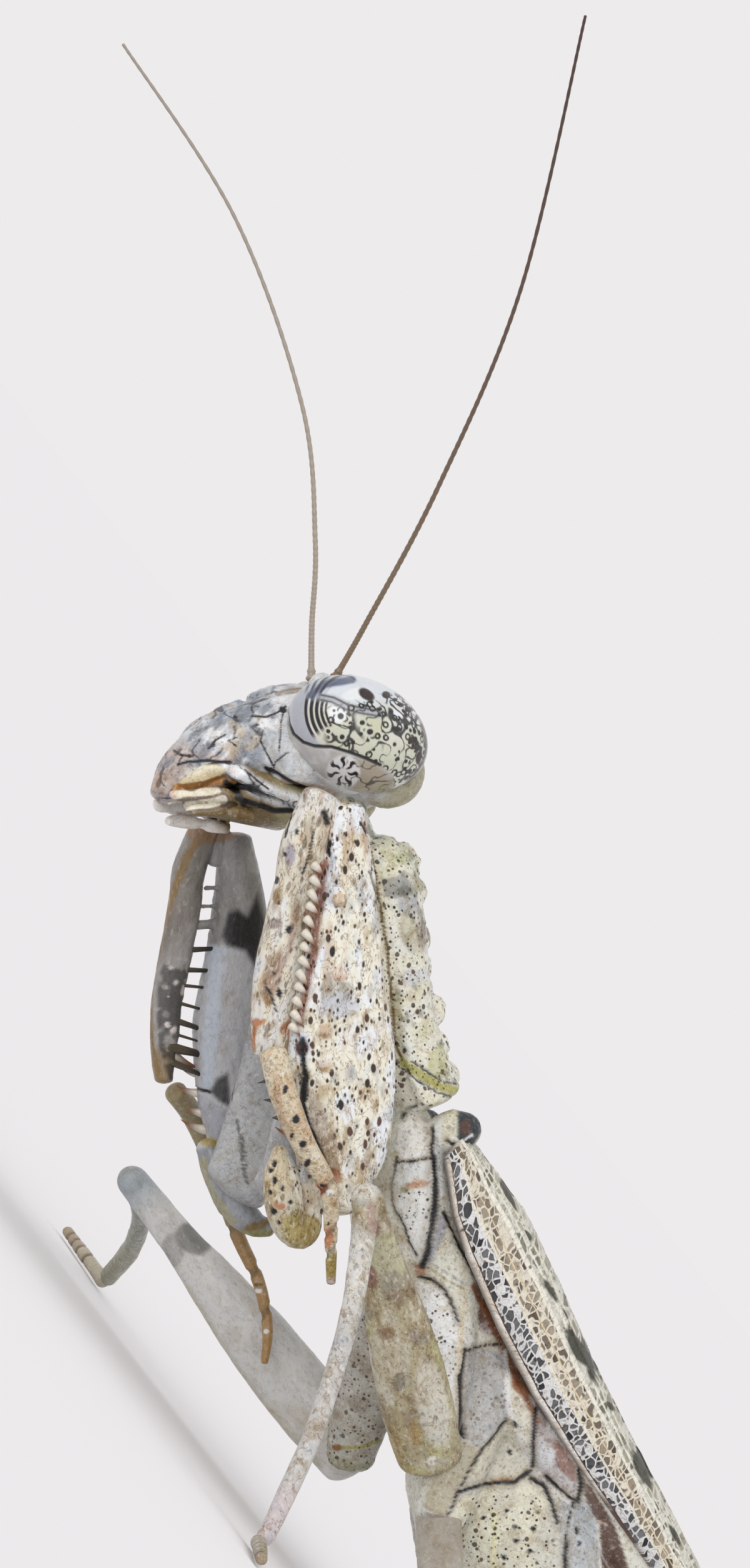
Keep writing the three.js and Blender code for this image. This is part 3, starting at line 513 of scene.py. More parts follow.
def skin(name, fine=1.0, middle=1.0, large=0.0, mottle=0.6, grain=0.03, rough=0.5, gloss=0.0):
    """Cuticle over a stored tint. Other facts: ink blackens, dotty is the share of dots shown.

    The facts' patterns run in the stored `cloth` coordinates, in millimetres.
    """
    s = Shade(name)
    at = s.fact("cloth", True)
    speck = s.noise(at, 9.0, 4.0, 0.65)
    cloud = s.noise(at, 2.4, 5.0, 0.62, 0.4)
    colour = s.mix(s.rise(cloud, 0.50, 0.66, mottle), s.fact("tint", True), (0.66, 0.56, 0.43), "MULTIPLY")
    colour = s.mix(s.rise(cloud, 0.46, 0.32, mottle * 0.6), colour, (0.72, 0.80, 0.92), "MULTIPLY")
    colour = s.mix(s.rise(speck, 0.53, 0.70, 0.55 * mottle), colour, (0.36, 0.27, 0.19), "MULTIPLY")
    colour = s.mix(s.rise(speck, 0.46, 0.30, 0.5 * mottle), colour, (0.80, 0.79, 0.74))
    worm = s.math("ABSOLUTE", s.math("SUBTRACT", s.noise(at, 3.6, 3.0, 0.6, 0.5), 0.5))
    colour = s.mix(s.rise(worm, 0.020, 0.004, mottle * 0.75), colour, (0.42, 0.31, 0.23), "MULTIPLY")
    wavy = s.warp(at, 5.0, 0.07)
    pits = None
    for share, spacing, low, high, keep in ((fine, 0.12, 0.013, 0.036, 0.8), (middle, 0.23, 0.03, 0.068, 0.62),
                                            (large, 0.6, 0.07, 0.12, 0.6)):
        if share == 0:
            continue
        dot, tone = s.dots(wavy, spacing, low, high, keep)
        dot = s.math("MULTIPLY", dot, s.math("MULTIPLY", s.fact("dotty"), share))
        colour = s.mix(dot, colour, s.mix(tone, INK, (0.10, 0.05, 0.03)))
        pits = dot if pits is None else s.math("MAXIMUM", pits, dot)
    colour = s.mix(s.fact("ink"), colour, INK)
    lumps, _ = s.cells(at, 5.5, "SMOOTH_F1")
    height = s.math("ADD", s.math("MULTIPLY", s.math("SUBTRACT", 1.0, lumps), 0.6), speck)
    normal = s.bump(height, grain)
    if pits is not None:
        normal = s.bump(s.math("SUBTRACT", 1.0, pits), 0.02, normal)
    return s.finish(colour, s.rise(speck, 0.2, 0.9, rough + 0.2), normal, 0.35, gloss)


def wing_leather(name):
    """Tegmen. Facts: over is 0 at the costal edge and 1 at the back, cellspace is in mm, patch blackens,
    under marks the lower face, which shows tint.
    """
    s = Shade(name)
    mm = s.fact("cloth", True)
    over = s.fact("over")
    fine = s.noise(mm, 9.0, 4.0, 0.65)
    net = s.warp(s.fact("cellspace", True), 2.2, 0.22)

    def net_of(scale, dark, light, web, keep, half):
        edge, _ = s.cells(net, scale, "DISTANCE_TO_EDGE")
        _, ident = s.cells(net, scale)
        inside = s.mix(ident[0], dark, light)
        inside = s.mix(s.math("LESS_THAN", ident[1], keep), web, inside)
        return s.mix(s.rise(edge, half + 0.05, half - 0.02), inside, web), edge

    band, band_edge = net_of(4.8, (0.012, 0.013, 0.018), (0.16, 0.16, 0.17), (0.66, 0.66, 0.65), 0.82, 0.07)
    mesh, mesh_edge = net_of(4.6, (0.07, 0.05, 0.035), (0.38, 0.32, 0.24), (0.66, 0.62, 0.52), 0.85, 0.07)
    back, _ = net_of(3.4, (0.13, 0.12, 0.08), (0.50, 0.49, 0.40), (0.62, 0.61, 0.54), 0.75, 0.08)
    colour = s.mix(s.rise(over, 0.36, 0.40), band, mesh)
    colour = s.mix(s.rise(over, 0.72, 0.78), colour, back)
    for centre, half, tint in ((0.385, 0.02, (0.74, 0.69, 0.57)), (0.55, 0.012, (0.66, 0.55, 0.38)),
                               (0.735, 0.025, (0.76, 0.74, 0.65)), (0.85, 0.012, (0.74, 0.73, 0.64)),
                               (0.93, 0.012, (0.70, 0.68, 0.56))):
        colour = s.mix(s.near(over, centre, half * 1.5, half * 0.6), colour, tint)
    rim = s.mix(s.rise(s.noise(mm, 1.6, 2.0), 0.42, 0.6), (0.88, 0.86, 0.80), (0.74, 0.66, 0.57))
    colour = s.mix(s.rise(over, 0.060, 0.045), colour, rim)
    colour = s.mix(s.near(over, 0.060, 0.014, 0.005), colour, (0.10, 0.06, 0.05))
    colour = s.mix(s.rise(fine, 0.50, 0.68, 0.5), colour, (0.45, 0.38, 0.30), "MULTIPLY")
    colour = s.mix(s.fact("patch"), colour, s.mix(fine, (0.012, 0.015, 0.010), (0.05, 0.05, 0.03)))
    dot, tone = s.dots(mm, 0.2, 0.02, 0.05, 0.5)
    colour = s.mix(s.math("MULTIPLY", dot, 0.8), colour, s.mix(tone, INK, (0.12, 0.07, 0.04)))
    colour = s.mix(s.fact("under"), colour, s.fact("tint", True))
    web = s.math("ADD", s.rise(band_edge, 0.2, 0.08), s.rise(mesh_edge, 0.2, 0.08))
    height = s.math("ADD", s.math("MULTIPLY", web, 0.5), s.math("MULTIPLY", fine, 0.5))
    return s.finish(colour, 0.5, s.bump(height, 0.03), 0.35)


def horn(name, root, tip):
    """Spines and feelers. Fact: horn, 0 at the root and 1 at the tip."""
    s = Shade(name)
    fine = s.noise(s.place(), 10.0, 3.0)
    colour = s.mix(fine, root, [v * 0.6 for v in root])
    colour = s.mix(s.rise(s.fact("horn"), 0.3, 0.85), colour, tip)
    return s.finish(colour, 0.35, s.bump(fine, 0.01), 0.5, 0.2)


body_skin = skin("body_cuticle", middle=0.9)
head_skin = skin("head_cuticle", fine=0.45, middle=0.35, mottle=0.5, grain=0.02, rough=0.42)
fore_skin = skin("fore_cuticle", middle=1.0, large=0.3, mottle=1.0)
far_skin = skin("far_cuticle", fine=0.3, middle=0.25, mottle=0.35, grain=0.02)
leg_skin = skin("leg_cuticle", fine=0.35, middle=0.5, large=0.3, mottle=0.9, grain=0.02)
grey_skin = skin("grey_cuticle", fine=0.2, middle=0.2, mottle=0.35, grain=0.015)
eye_skin = skin("eye_glass", fine=0.0, middle=0.0, mottle=0.12, grain=0.006, rough=0.22, gloss=0.3)
wing_material = wing_leather("wing_leather")
pale_horn = horn("pale_horn", (0.80, 0.75, 0.64), (0.20, 0.07, 0.03))
dark_horn = horn("dark_horn", (0.10, 0.08, 0.05), (0.012, 0.01, 0.01))
feeler_horn = horn("feeler_horn", (0.22, 0.15, 0.09), (0.05, 0.02, 0.015))
faint_horn = horn("faint_horn", (0.40, 0.34, 0.27), (0.28, 0.24, 0.20))

FINE = 0.066     # spacing of points on the skins, mm


# ----------------------------------------------------------------- painting
# Marks are placed on the camera's picture plane, in steps of 0.016 mm across
# and down from one corner, and go straight through the animal from there.

def on_sheet(view):
    """Picture-plane coordinates of points given across and up, as `seen` gives them."""
    across = ALONG * view[:, 0] + CLIMB * view[:, 1]
    down = CLIMB * view[:, 0] - ALONG * view[:, 1]
    return np.stack([across, down], 1) * SHEET_SCALE + SHEET_ZERO


def wandering(sheet, p, size, seed, amount):
    """Picture-plane coordinates moved a little, so that marks on them get uneven edges."""
    return sheet + layered(p, size, seed)[:, None] * amount


def head_sheet(p):
    """Picture-plane coordinates of points of the upright head, its far half mirrored."""
    q = p * (1, 0, 1) - np.abs(p) * (0, 1, 0)
    return on_sheet(seen(head_pose(q)))


def laid(tint, *coats):
    """Paints colours over the tint in turn, each by a share of 0 to 1."""
    tint = np.array(tint, float)
    for share, colour in coats:
        tint = tint + (np.array(colour) - tint) * np.clip(share, 0, 1)[:, None]
    return tint


def stroke(at, path, half):
    return step(half * 1.5, half * 0.6, to_line(at, path))


def blot(at, centre, across, down, turn=0.0, ragged=0.0):
    """Share of paint in an ellipse whose long way is turned by degrees."""
    c, s = math.cos(math.radians(turn)), math.sin(math.radians(turn))
    d = at - np.array(centre, float)
    x, y = d[:, 0] * c + d[:, 1] * s, d[:, 1] * c - d[:, 0] * s
    return step(1.15, 0.8, np.hypot(x / across, y / down) + ragged)


def inside(at, corners, soft=2.0):
    """Share of paint within a closed outline, which fades out `soft` steps either side of it."""
    x, y = at[:, 0], at[:, 1]
    out = np.zeros(len(at), bool)
    for (x0, y0), (x1, y1) in zip(corners, corners[1:] + corners[:1]):
        if y0 != y1:
            out ^= ((y0 > y) != (y1 > y)) & (x < (x1 - x0) * (y - y0) / (y1 - y0) + x0)
    edge = to_line(at, corners + corners[:1])
    return step(-soft, soft, np.where(out, edge, -edge))


def blots(at, table, ragged=0.0, over=1.0):
    """Coats in ellipses: centre, half width, half height, turn, colour, share."""
    return [(blot(at, *mark, ragged) * share * over, colour) for *mark, colour, share in table]


def specks(at, table, ragged=0.0, turn=0):
    """The strongest of several ellipses: centre, half width, half height."""
    return np.max([blot(at, *mark, turn, ragged) for mark in table], axis=0)


def lines(at, table):
    """The strongest of several strokes: path, half width."""
    return np.max([stroke(at, path, half) for path, half in table], axis=0)


def squeezed(points, start, end, share=0.5):
    """Points whose distances along a limb are shortened, so that patterns on it stretch."""
    axis = unit(np.array(end, float) - np.array(start, float))
    return points + np.outer(points @ axis, axis) * (share - 1)


# --------------------------------------------------------------------- eyes

EYE_CENTRE = np.array([-5.26, 2.15, 14.14])
EYE_HALVES = (1.92, 1.42, 1.45)
EYE_TILT = 28
EYE_MARK = (565, 1136)                  # middle of the glossy bands on the picture plane
DISC_MARK = (549, 1235)                 # middle of the rayed disc below the crease
# the first patch is a painted highlight, a white sheen patch; the others are paler places on the eye
EYE_SHEEN_AND_PALE_PATCHES = [((568, 1110), 22, 10, -12), ((541, 1143), 15, 14, 0), ((640, 1147), 20, 11, 30),
              ((667, 1147), 12, 18, 0)]
EYE_SPOTS = [
    ((586, 1111), 15, 9, 35), ((617, 1111), 7, 6, 0), ((640, 1127), 6, 4, 20), ((652, 1135), 6, 4, 30),
    ((631, 1118), 4, 3, 0), ((634, 1166), 9, 5, 10), ((660, 1184), 7, 6, 0), ((670, 1213), 5, 12, 10),
    ((606, 1134), 5, 3, 0), ((678, 1159), 3, 8, 0),
]

for side, sign in SIDES:
    eye = ball(EYE_CENTRE * (1, sign, 1), EYE_HALVES, -EYE_TILT, spacing=0.024)
    spot = eye.local * EYE_HALVES * (1, sign, 1)
    at = wandering(head_sheet(eye.points), spot, 0.5, 6, 1.5)
    away = at - EYE_MARK
    reach = np.hypot(away[:, 0], away[:, 1])
    bearing = np.degrees(np.arctan2(away[:, 1], away[:, 0])) % 360
    cloud = layered(spot, 0.7, 4)
    tint = laid((0.55, 0.56, 0.46),
        (step(0.0, 0.5, cloud), (0.64, 0.64, 0.58)),
        (step(0.0, -0.5, cloud) * 0.6, (0.48, 0.5, 0.32)),
        (step(1150, 1110, at[:, 1]), (0.6, 0.64, 0.68)))
    # painted sheen: glossy grey bands round the front of the eye, and dark sheen stripes over its top
    front = step(258, 225, bearing) * step(120, 140, bearing)
    tint = laid(tint,
        (front * step(72, 80, reach), (0.38, 0.4, 0.44)),
        (front * step(95, 104, reach) * 0.7, (0.6, 0.62, 0.66)))
    ribbed = 0.5 + 0.5 * np.sin(reach * 0.78 + 1.5 * cloud)
    upper = step(195, 210, bearing) * step(265, 248, bearing) * step(48, 60, reach)
    tint = laid(tint, (upper * 0.8, (0.36, 0.4, 0.47)))
    ink = upper * step(0.4, 0.65, ribbed) * 0.9
    gate = step(140, 151, bearing) * step(206, 190, bearing)
    for radius, half in ((76, 2.6), (67, 3.0), (58, 3.0), (50, 2.4), (43, 1.8)):
        ink = np.maximum(ink, gate * step(half * 1.3, half * 0.7, np.abs(reach - radius)))
    # painted highlight and sheen: the white sheen patch among the pale patches, and a dark blue sheen band along the
    # top edge
    tint = laid(tint,
        *[(blot(at, *mark, cloud * 0.2), (0.7, 0.72, 0.73)) for mark in EYE_SHEEN_AND_PALE_PATCHES],
        (stroke(at, [(498, 1112), (518, 1095), (563, 1087)], 6), (0.1, 0.12, 0.19)))
    shadow = [(512, 1116), (533, 1120), (556, 1132), (580, 1137), (603, 1141)]
    tint = laid(tint, (stroke(at, shadow, 7) * 0.85, (0.34, 0.35, 0.38)))
    ink = np.maximum(ink, step(2.2, 1.2, np.abs(to_line(at, shadow) - 4)) * step(507, 515, at[:, 0]) * 0.7)
    # rings, loops and dots over the lower and rear part
    zone = step(0, 16, at[:, 0] - 512) * step(1128, 1142, at[:, 1] + 0.25 * (at[:, 0] - 520))
    loops = step(0.10, 0.04, np.abs(soft_noise(spot, 0.25, 31))) * step(-0.3, -0.1, soft_noise(spot, 0.7, 32))
    more = step(0.20, 0.11, np.abs(soft_noise(spot, 0.25, 36))) * step(-0.25, 0.0, soft_noise(spot, 0.45, 37))
    loops = np.maximum(loops, more)
    near, ident = grains(spot, 0.21, 33)
    rings = step(0.032, 0.016, np.abs(near - 0.075)) * step(0.6, 0.55, ident)
    dots = np.maximum(step(0.07, 0.05, near) * step(0.6, 0.65, ident), rings)
    ink = np.maximum(ink, zone * np.maximum(loops * 0.95, dots))
    for centre, radius in (((545, 1146), 6), ((579, 1156), 5), ((592, 1171), 6), ((547, 1179), 5), ((525, 1170), 4)):
        ring = np.linalg.norm(at - centre, axis=1)
        ink = np.maximum(ink * step(radius * 1.2, radius * 1.8, ring), step(radius, radius * 0.7, ring))
    for mark in EYE_SPOTS:
        share = blot(at, *mark, cloud * 0.25)
        tint = laid(tint, (share, (0.05, 0.025, 0.018)))
        ink = np.maximum(ink, share * 0.55)
    back = stroke(at, [(676, 1147), (685, 1177), (687, 1204), (676, 1231), (656, 1249)], 7)
    tint = laid(tint, (back * 0.8, (0.1, 0.055, 0.03)))
    # under the crease: a smooth grey border, a rayed white disc and marbled brown
    crease = [(460, 1143), (462, 1159), (469, 1175), (484, 1188), (502, 1194), (529, 1195), (556, 1203), (583, 1213),
        (608, 1224), (629, 1240)]
    below = inside(at, crease + [(638, 1340), (366, 1340), (366, 1143)])
    tint = laid(tint,
        (below, (0.44, 0.43, 0.42)),
        (below * step(0.1, 0.6, layered(spot, 0.3, 12)) * 0.6, (0.62, 0.62, 0.62)))
    marbled = blot(at, (581, 1245), 45, 30, 20) * below
    tint = laid(tint, (marbled, (0.36, 0.31, 0.24)))
    ink = ink * (1 - below) + below * marbled * step(0.15, 0.05, np.abs(soft_noise(spot, 0.2, 35))) * 0.8
    disc = at - DISC_MARK
    ray = np.degrees(np.arctan2(disc[:, 1], disc[:, 0]))
    out = np.hypot(disc[:, 0], disc[:, 1])
    tint = laid(tint, (step(30, 24, out) * below, (0.66, 0.66, 0.66)))
    petals = np.sin(np.radians(ray * 7 + 40 * np.sin(out * 0.4)))
    rays = step(0.25, 0.55, petals) * step(28, 22, out) * step(4, 9, out)
    ink = np.maximum(ink, below * rays)
    rear = blot(at, (644, 1263), 45, 24, -15) * below
    tint = laid(tint, (rear, (0.3, 0.28, 0.2)))
    line = stroke(at, crease[:9], 2.6)
    ink = np.maximum(ink, line)
    hidden = step(0.0, -0.35, spot[:, 1])
    tint = laid(tint, (hidden, (0.42, 0.42, 0.38)))
    eye.facts = {"tint": tint, "ink": ink * (1 - hidden), "cloth": spot}
    eye.push(-0.04 * line)
    eye.move(head_pose)
    add(f"eye_{side}_dome", eye, eye_skin, [f"eye_{side}"])


# --------------------------------------------------------------------- head

HEAD = [
    [-7.25, 0, 9.78, 0.45, 0.32, 0.28, 2.2],
    [-7.4, 0, 10.5, 0.88, 0.52, 0.55, 2.3],
    [-7.15, 0, 11.35, 1.25, 0.98, 0.85, 2.4],
    [-6.65, 0, 12.25, 1.7, 1.25, 1.15, 2.4],
    [-6.05, 0, 13.05, 2.05, 1.52, 1.3, 2.4],
    [-5.4, 0, 13.85, 2.2, 1.62, 1.5, 2.3],
    [-4.95, 0, 14.7, 1.9, 1.65, 1.7, 2.2],
    [-4.85, 0, 15.35, 1.35, 1.3, 1.15, 2.2],
]
HEAD_LINES = [
    ([(420, 1169), (417, 1186), (426, 1204), (435, 1222), (437, 1231)], 1.5),
    ([(462, 1203), (443, 1217), (436, 1229)], 1.3),
    ([(425, 1229), (447, 1243), (470, 1257), (495, 1266), (511, 1267)], 3.2),
    ([(453, 1132), (449, 1154), (447, 1186), (446, 1202)], 1.2),
    ([(284, 1224), (302, 1218), (330, 1217), (368, 1219)], 2.2), ([(379, 1181), (366, 1186), (379, 1195)], 1.2),
    ([(402, 1145), (425, 1147), (447, 1136), (457, 1130)], 1.6), ([(332, 1197), (343, 1184), (359, 1175)], 1.8),
    ([(275, 1199), (289, 1208), (307, 1209)], 2.0), ([(495, 1204), (504, 1220), (502, 1233)], 1.3),
]
HEAD_DOTS = [
    ((375, 1145), 5), ((452, 1135), 7), ((302, 1209), 5), ((411, 1159), 3), ((339, 1191), 4),
]

parts = [tube(HEAD, spacing=0.12, bulge=0.35)]
for _, sign in SIDES:
    parts.append(ball((-3.9, sign * 1.6, 14.35), (0.9, 0.64, 1.0), 20, 0.1))
    parts.append(ball((-6.61, sign * 0.6, 14.92), (0.37, 0.35, 0.37), 0, 0.1))
    parts.append(ball((-5.77, sign * 1.62, 12.52), (0.83, 0.47, 0.65), -30, 0.1))
    parts.append(ball((-6.5, sign * 1.38, 12.45), (0.62, 0.42, 0.72), -10, 0.1))
    parts.append(ball((-5.0, sign * 1.85, 13.0), (1.0, 0.45, 0.35), -20, 0.1))
    parts.append(tube([[-7.65, sign * 0.35, 12.9, 0.16, 0.16, 0.16], [-7.9, sign * 0.5, 11.9, 0.16, 0.18, 0.18],
                       [-7.75, sign * 0.45, 10.9, 0.14, 0.16, 0.16]], spacing=0.1))
parts.append(tube([[-6.85, 0, 14.45, 0.5, 0.25, 0.3], [-7.2, 0, 13.9, 0.6, 0.25, 0.3],
    [-7.4, 0, 13.4, 0.5, 0.2, 0.3]], spacing=0.1))
for centre in ((-6.45, 0, 15.5), (-6.2, 0.33, 15.75), (-6.2, -0.33, 15.75)):
    parts.append(ball(centre, (0.2, 0.19, 0.19), 0, 0.06))
head = fused(parts, FINE * 0.65, 3)
at = wandering(head_sheet(head.points), head.points, 0.45, 2, 2.0)
cloud, fleck = layered(head.points, 0.55, 3), layered(head.points, 0.28, 18)
face = step(455, 420, at[:, 0] + 0.35 * (at[:, 1] - 1150))
tint = laid((0.5, 0.53, 0.56),
    (step(-0.05, 0.3, cloud) * 0.85, (0.27, 0.3, 0.35)),
    (step(-0.1, -0.4, cloud) * 0.8, (0.78, 0.8, 0.82)),
    (step(420, 470, at[:, 0]) * 0.5, (0.64, 0.65, 0.66)),
    (step(0.15, 0.5, layered(head.points, 0.5, 44)) * 0.7 * face, (0.46, 0.37, 0.24)),
    (step(330, 285, at[:, 0]) * step(1170, 1205, at[:, 1]) * 0.8, (0.46, 0.38, 0.34)),
    (stroke(at, [(266, 1206), (302, 1209), (334, 1209), (366, 1214), (379, 1218)], 4) * 0.6, PINK),
    (stroke(at, [(253, 1243), (245, 1256)], 6) * 0.6, (0.52, 0.32, 0.2)),
    (step(1272, 1290, at[:, 1]) * step(560, 600, at[:, 0]), (0.33, 0.31, 0.21)),
    (step(585, 640, at[:, 0]), (0.34, 0.32, 0.22)),
    (blot(at, (484, 1263), 60, 12, 8) * 0.8, (0.34, 0.22, 0.14)),
    (stroke(at, [(443, 1109), (466, 1105), (490, 1103)], 4) * 0.9, (0.2, 0.14, 0.07)))
slanted = np.stack([at @ (0.19, -0.23), at @ (0.77, 0.64), np.zeros(len(at))], 1)
streak = layered(slanted, 10.0, 62)
tint = laid(tint,
    (step(0.1, 0.45, streak) * face * 0.75, (0.17, 0.19, 0.23)),
    (step(-0.15, -0.5, streak) * face * 0.7, (0.76, 0.78, 0.8)))
ink = step(0.085, 0.03, np.abs(soft_noise(head.points, 0.5, 9))) * step(-0.15, 0.15, cloud) * face * 0.85
ink = np.maximum(ink, step(0.26, 0.42, fleck) * face * 0.7)
ink = np.maximum(ink, lines(at, HEAD_LINES))
ink = np.maximum(ink, specks(at, [(mark, radius, radius * 0.7) for mark, radius in HEAD_DOTS], cloud * 0.3, 20))
crevice = stroke(at, [(436, 1231), (447, 1243), (470, 1257), (495, 1266)], 5)
head.facts = {"tint": tint, "ink": ink, "dotty": np.clip(0.25 + face * 0.5, 0, 1)}
rough = layered(head.points, 0.5, 3) * 0.05 * face + layered(head.points, 0.2, 8) * 0.02
head.push(rough - crevice * 0.06 - ink * 0.015)
head.move(head_pose)
add("head_skin", head, head_skin, ["head"])

mouth = [tube([[-4.75, 0, 12.1, 1.08, 0.42, 0.36], [-5.5, 0, 11.5, 1.02, 0.46, 0.36],
    [-6.2, 0, 10.85, 0.85, 0.42, 0.34], [-6.65, 0, 10.3, 0.5, 0.28, 0.25]], spacing=0.08)]
for _, sign in SIDES:
    mouth.append(tube([[-6.6, sign * 1.08, 11.5, 0.12, 0.1, 0.1], [-6.85, sign * 1.02, 11.05, 0.2, 0.22, 0.26],
                       [-7.02, sign * 0.85, 10.55, 0.2, 0.24, 0.26], [-7.15, sign * 0.45, 9.98, 0.14, 0.14, 0.14]],
                      spacing=0.05))
    mouth.append(tube([[-6.4, sign * 0.95, 11.2, 0.15, 0.14, 0.14], [-6.62, sign * 0.85, 10.75, 0.18, 0.15, 0.15],
                       [-6.9, sign * 0.5, 10.15, 0.12, 0.1, 0.1]], spacing=0.05))
    mouth.append(tube([[-4.85, sign * 1.15, 12.2, 0.28, 0.28, 0.28], [-5.3, sign * 1.33, 11.95, 0.2, 0.24, 0.24],
                       [-5.75, sign * 1.36, 11.7, 0.26, 0.26, 0.26], [-6.1, sign * 1.4, 11.5, 0.18, 0.2, 0.2],
                       [-6.4, sign * 1.38, 11.3, 0.22, 0.24, 0.24], [-6.75, sign * 1.2, 11.15, 0.1, 0.12, 0.12]],
                      spacing=0.05))
    palp = [[-5.6, sign * 1.05, 11.25, 0.17, 0.17, 0.17], [-5.95, sign * 1.15, 10.95, 0.2, 0.2, 0.2],
            [-6.1, sign * 1.15, 10.8, 0.12, 0.12, 0.12], [-6.3, sign * 1.12, 10.62, 0.19, 0.19, 0.19],
            [-6.68, sign * 1.0, 10.2, 0.17, 0.17, 0.17], [-6.78, sign * 0.9, 10.05, 0.12, 0.12, 0.12],
            [-7.0, sign * 0.75, 9.85, 0.16, 0.16, 0.16], [-7.15, sign * 0.55, 9.78, 0.1, 0.1, 0.1]]
    mouth.append(tube(palp, spacing=0.05))
    mouth.append(tube([[x + 0.22, y * 0.8, z - 0.3, a * 0.9, a * 0.9, a * 0.9] for x, y, z, a, _, _ in palp[:6]],
        spacing=0.05))
mouth = fused(mouth, 0.034, 1)
at = wandering(head_sheet(mouth.points), mouth.points, 0.3, 2, 1.5)
cloud = layered(mouth.points, 0.3, 31)
tint = laid((0.2, 0.14, 0.06), (step(430, 450, at[:, 0]), (0.33, 0.29, 0.16)))
maxilla = stroke(at, [(366, 1224), (384, 1240), (402, 1256), (425, 1267), (447, 1277), (470, 1283), (490, 1286)], 13)
tint = laid(tint,
    (maxilla, (0.78, 0.8, 0.82)),
    (maxilla * step(-0.1, 0.4, cloud) * 0.7, (0.36, 0.38, 0.42)))
for path in ([(280, 1272), (302, 1268), (327, 1267), (346, 1267)],
             [(257, 1292), (280, 1292), (302, 1289), (332, 1286), (357, 1280)]):
    edge = to_line(at, path)
    tint = laid(tint,
        (step(14, 9, edge), (0.76, 0.71, 0.58)),
        (step(3.5, 1.5, np.abs(edge - 9.5)) * 0.85, (0.1, 0.06, 0.03)))
strip = stroke(at, [(280, 1259), (307, 1259), (334, 1252), (361, 1249), (382, 1255)], 5)
tint = laid(tint, (strip, (0.34, 0.15, 0.035)))
lens = inside(at, [(269, 1255), (280, 1240), (298, 1229), (321, 1224), (346, 1224), (362, 1230), (349, 1244),
    (325, 1252), (293, 1257)])
shaded = step(0, 18, at[:, 1] - 1232 + 0.25 * (at[:, 0] - 310))
tint = laid(tint,
    (lens, (0.74, 0.71, 0.56)),
    (lens * shaded * 0.7, (0.52, 0.4, 0.2)),
    (stroke(at, [(269, 1256), (293, 1257), (325, 1252), (349, 1244)], 2.5), (0.24, 0.11, 0.03)),
    (blot(at, (255, 1272), 26, 26, 0) * 0.85, (0.74, 0.58, 0.48)),
    (blot(at, (273, 1259), 12, 8, 0) * 0.8, (0.6, 0.3, 0.08)))
far_palp = step(0.35, 0.6, mouth.points[:, 1]) * step(11.0, 10.6, mouth.points[:, 2])
tint = laid(tint, (far_palp, (0.82, 0.79, 0.76)))
ink = maxilla * step(0.09, 0.03, np.abs(soft_noise(mouth.points, 0.26, 9))) * 0.9
ink = np.maximum(ink, lines(at, [([(244, 1267), (243, 1279), (248, 1292)], 3.0),
    ([(280, 1228), (302, 1219), (330, 1218), (368, 1221)], 2.2), ([(361, 1252), (379, 1267), (389, 1286)], 5),
    ([(379, 1277), (411, 1288), (438, 1297), (466, 1297)], 4.5), ([(391, 1231), (411, 1249), (429, 1263)], 1.5),
    ([(493, 1279), (484, 1295)], 3)]))
mouth.facts = {"tint": tint, "ink": ink, "dotty": np.full(len(at), 0.2)}
mouth.push(layered(mouth.points, 0.22, 5) * 0.03 * maxilla)
mouth.move(head_pose)
add("mouth_skin", mouth, head_skin, ["mouthparts"])


# --------------------------------------------------------------- body skin

PROTHORAX = [
    [-2.85, 0, 12.95, 1.55, 1.05, 0.85, 2.3],
    [-2.1, 0, 12.6, 2.0, 1.35, 1.0, 2.4],
    [-1.0, 0, 12.05, 2.1, 1.25, 1.05, 2.4],
    [0.0, 0, 11.45, 1.95, 1.2, 1.0, 2.4],
    [1.0, 0, 10.9, 1.85, 1.15, 0.95, 2.4],
    [2.0, 0, 10.35, 1.9, 1.2, 0.9, 2.4],
    [3.1, 0, 9.95, 2.0, 1.3, 0.85, 2.3],
]
PRONOTUM_LUMPS = [
    (-1.85, 0.5, 13.6, 0.52), (-1.1, 0.5, 13.35, 0.42), (-0.05, 0.45, 12.72, 0.36), (0.5, 0.8, 12.2, 0.34),
    (1.6, 0.5, 11.8, 0.42), (2.3, 0.75, 11.3, 0.34), (3.2, 0.4, 11.05, 0.4), (-2.3, 0.75, 13.4, 0.3),
    (-0.6, 0.9, 12.75, 0.26), (1.05, 0.4, 12.1, 0.25), (2.8, 1.0, 10.9, 0.26), (-1.4, 1.1, 13.0, 0.28),
]
PTEROTHORAX = [
    [3.2, 0, 9.3, 1.55, 0.75, 0.75, 2.3],
    [4.3, 0, 8.75, 2.0, 1.0, 1.15, 2.4],
    [5.5, 0, 8.1, 2.2, 1.0, 1.35, 2.5],
    [7.0, 0, 7.55, 2.25, 1.0, 1.45, 2.5],
    [8.5, 0, 7.2, 2.25, 1.0, 1.5, 2.5],
    [10.0, 0, 6.9, 2.2, 1.0, 1.5, 2.4],
    [11.2, 0, 6.7, 2.0, 1.0, 1.45, 2.3],
]
ABDOMEN = [
    [11.0, 0, 5.95, 1.9, 1.0, 2.1, 2.3],
    [13.0, 0, 5.55, 2.6, 1.05, 2.75, 2.4],
    [15.0, 0, 5.45, 2.95, 0.8, 2.75, 2.4],
    [17.2, 0, 5.4, 2.9, 0.5, 2.4, 2.4],
    [19.4, 0, 5.2, 2.35, 0.4, 1.7, 2.3],
    [21.2, 0, 4.95, 1.3, 0.3, 0.8, 2.2],
]
ABDOMEN_SEGMENTS = 7
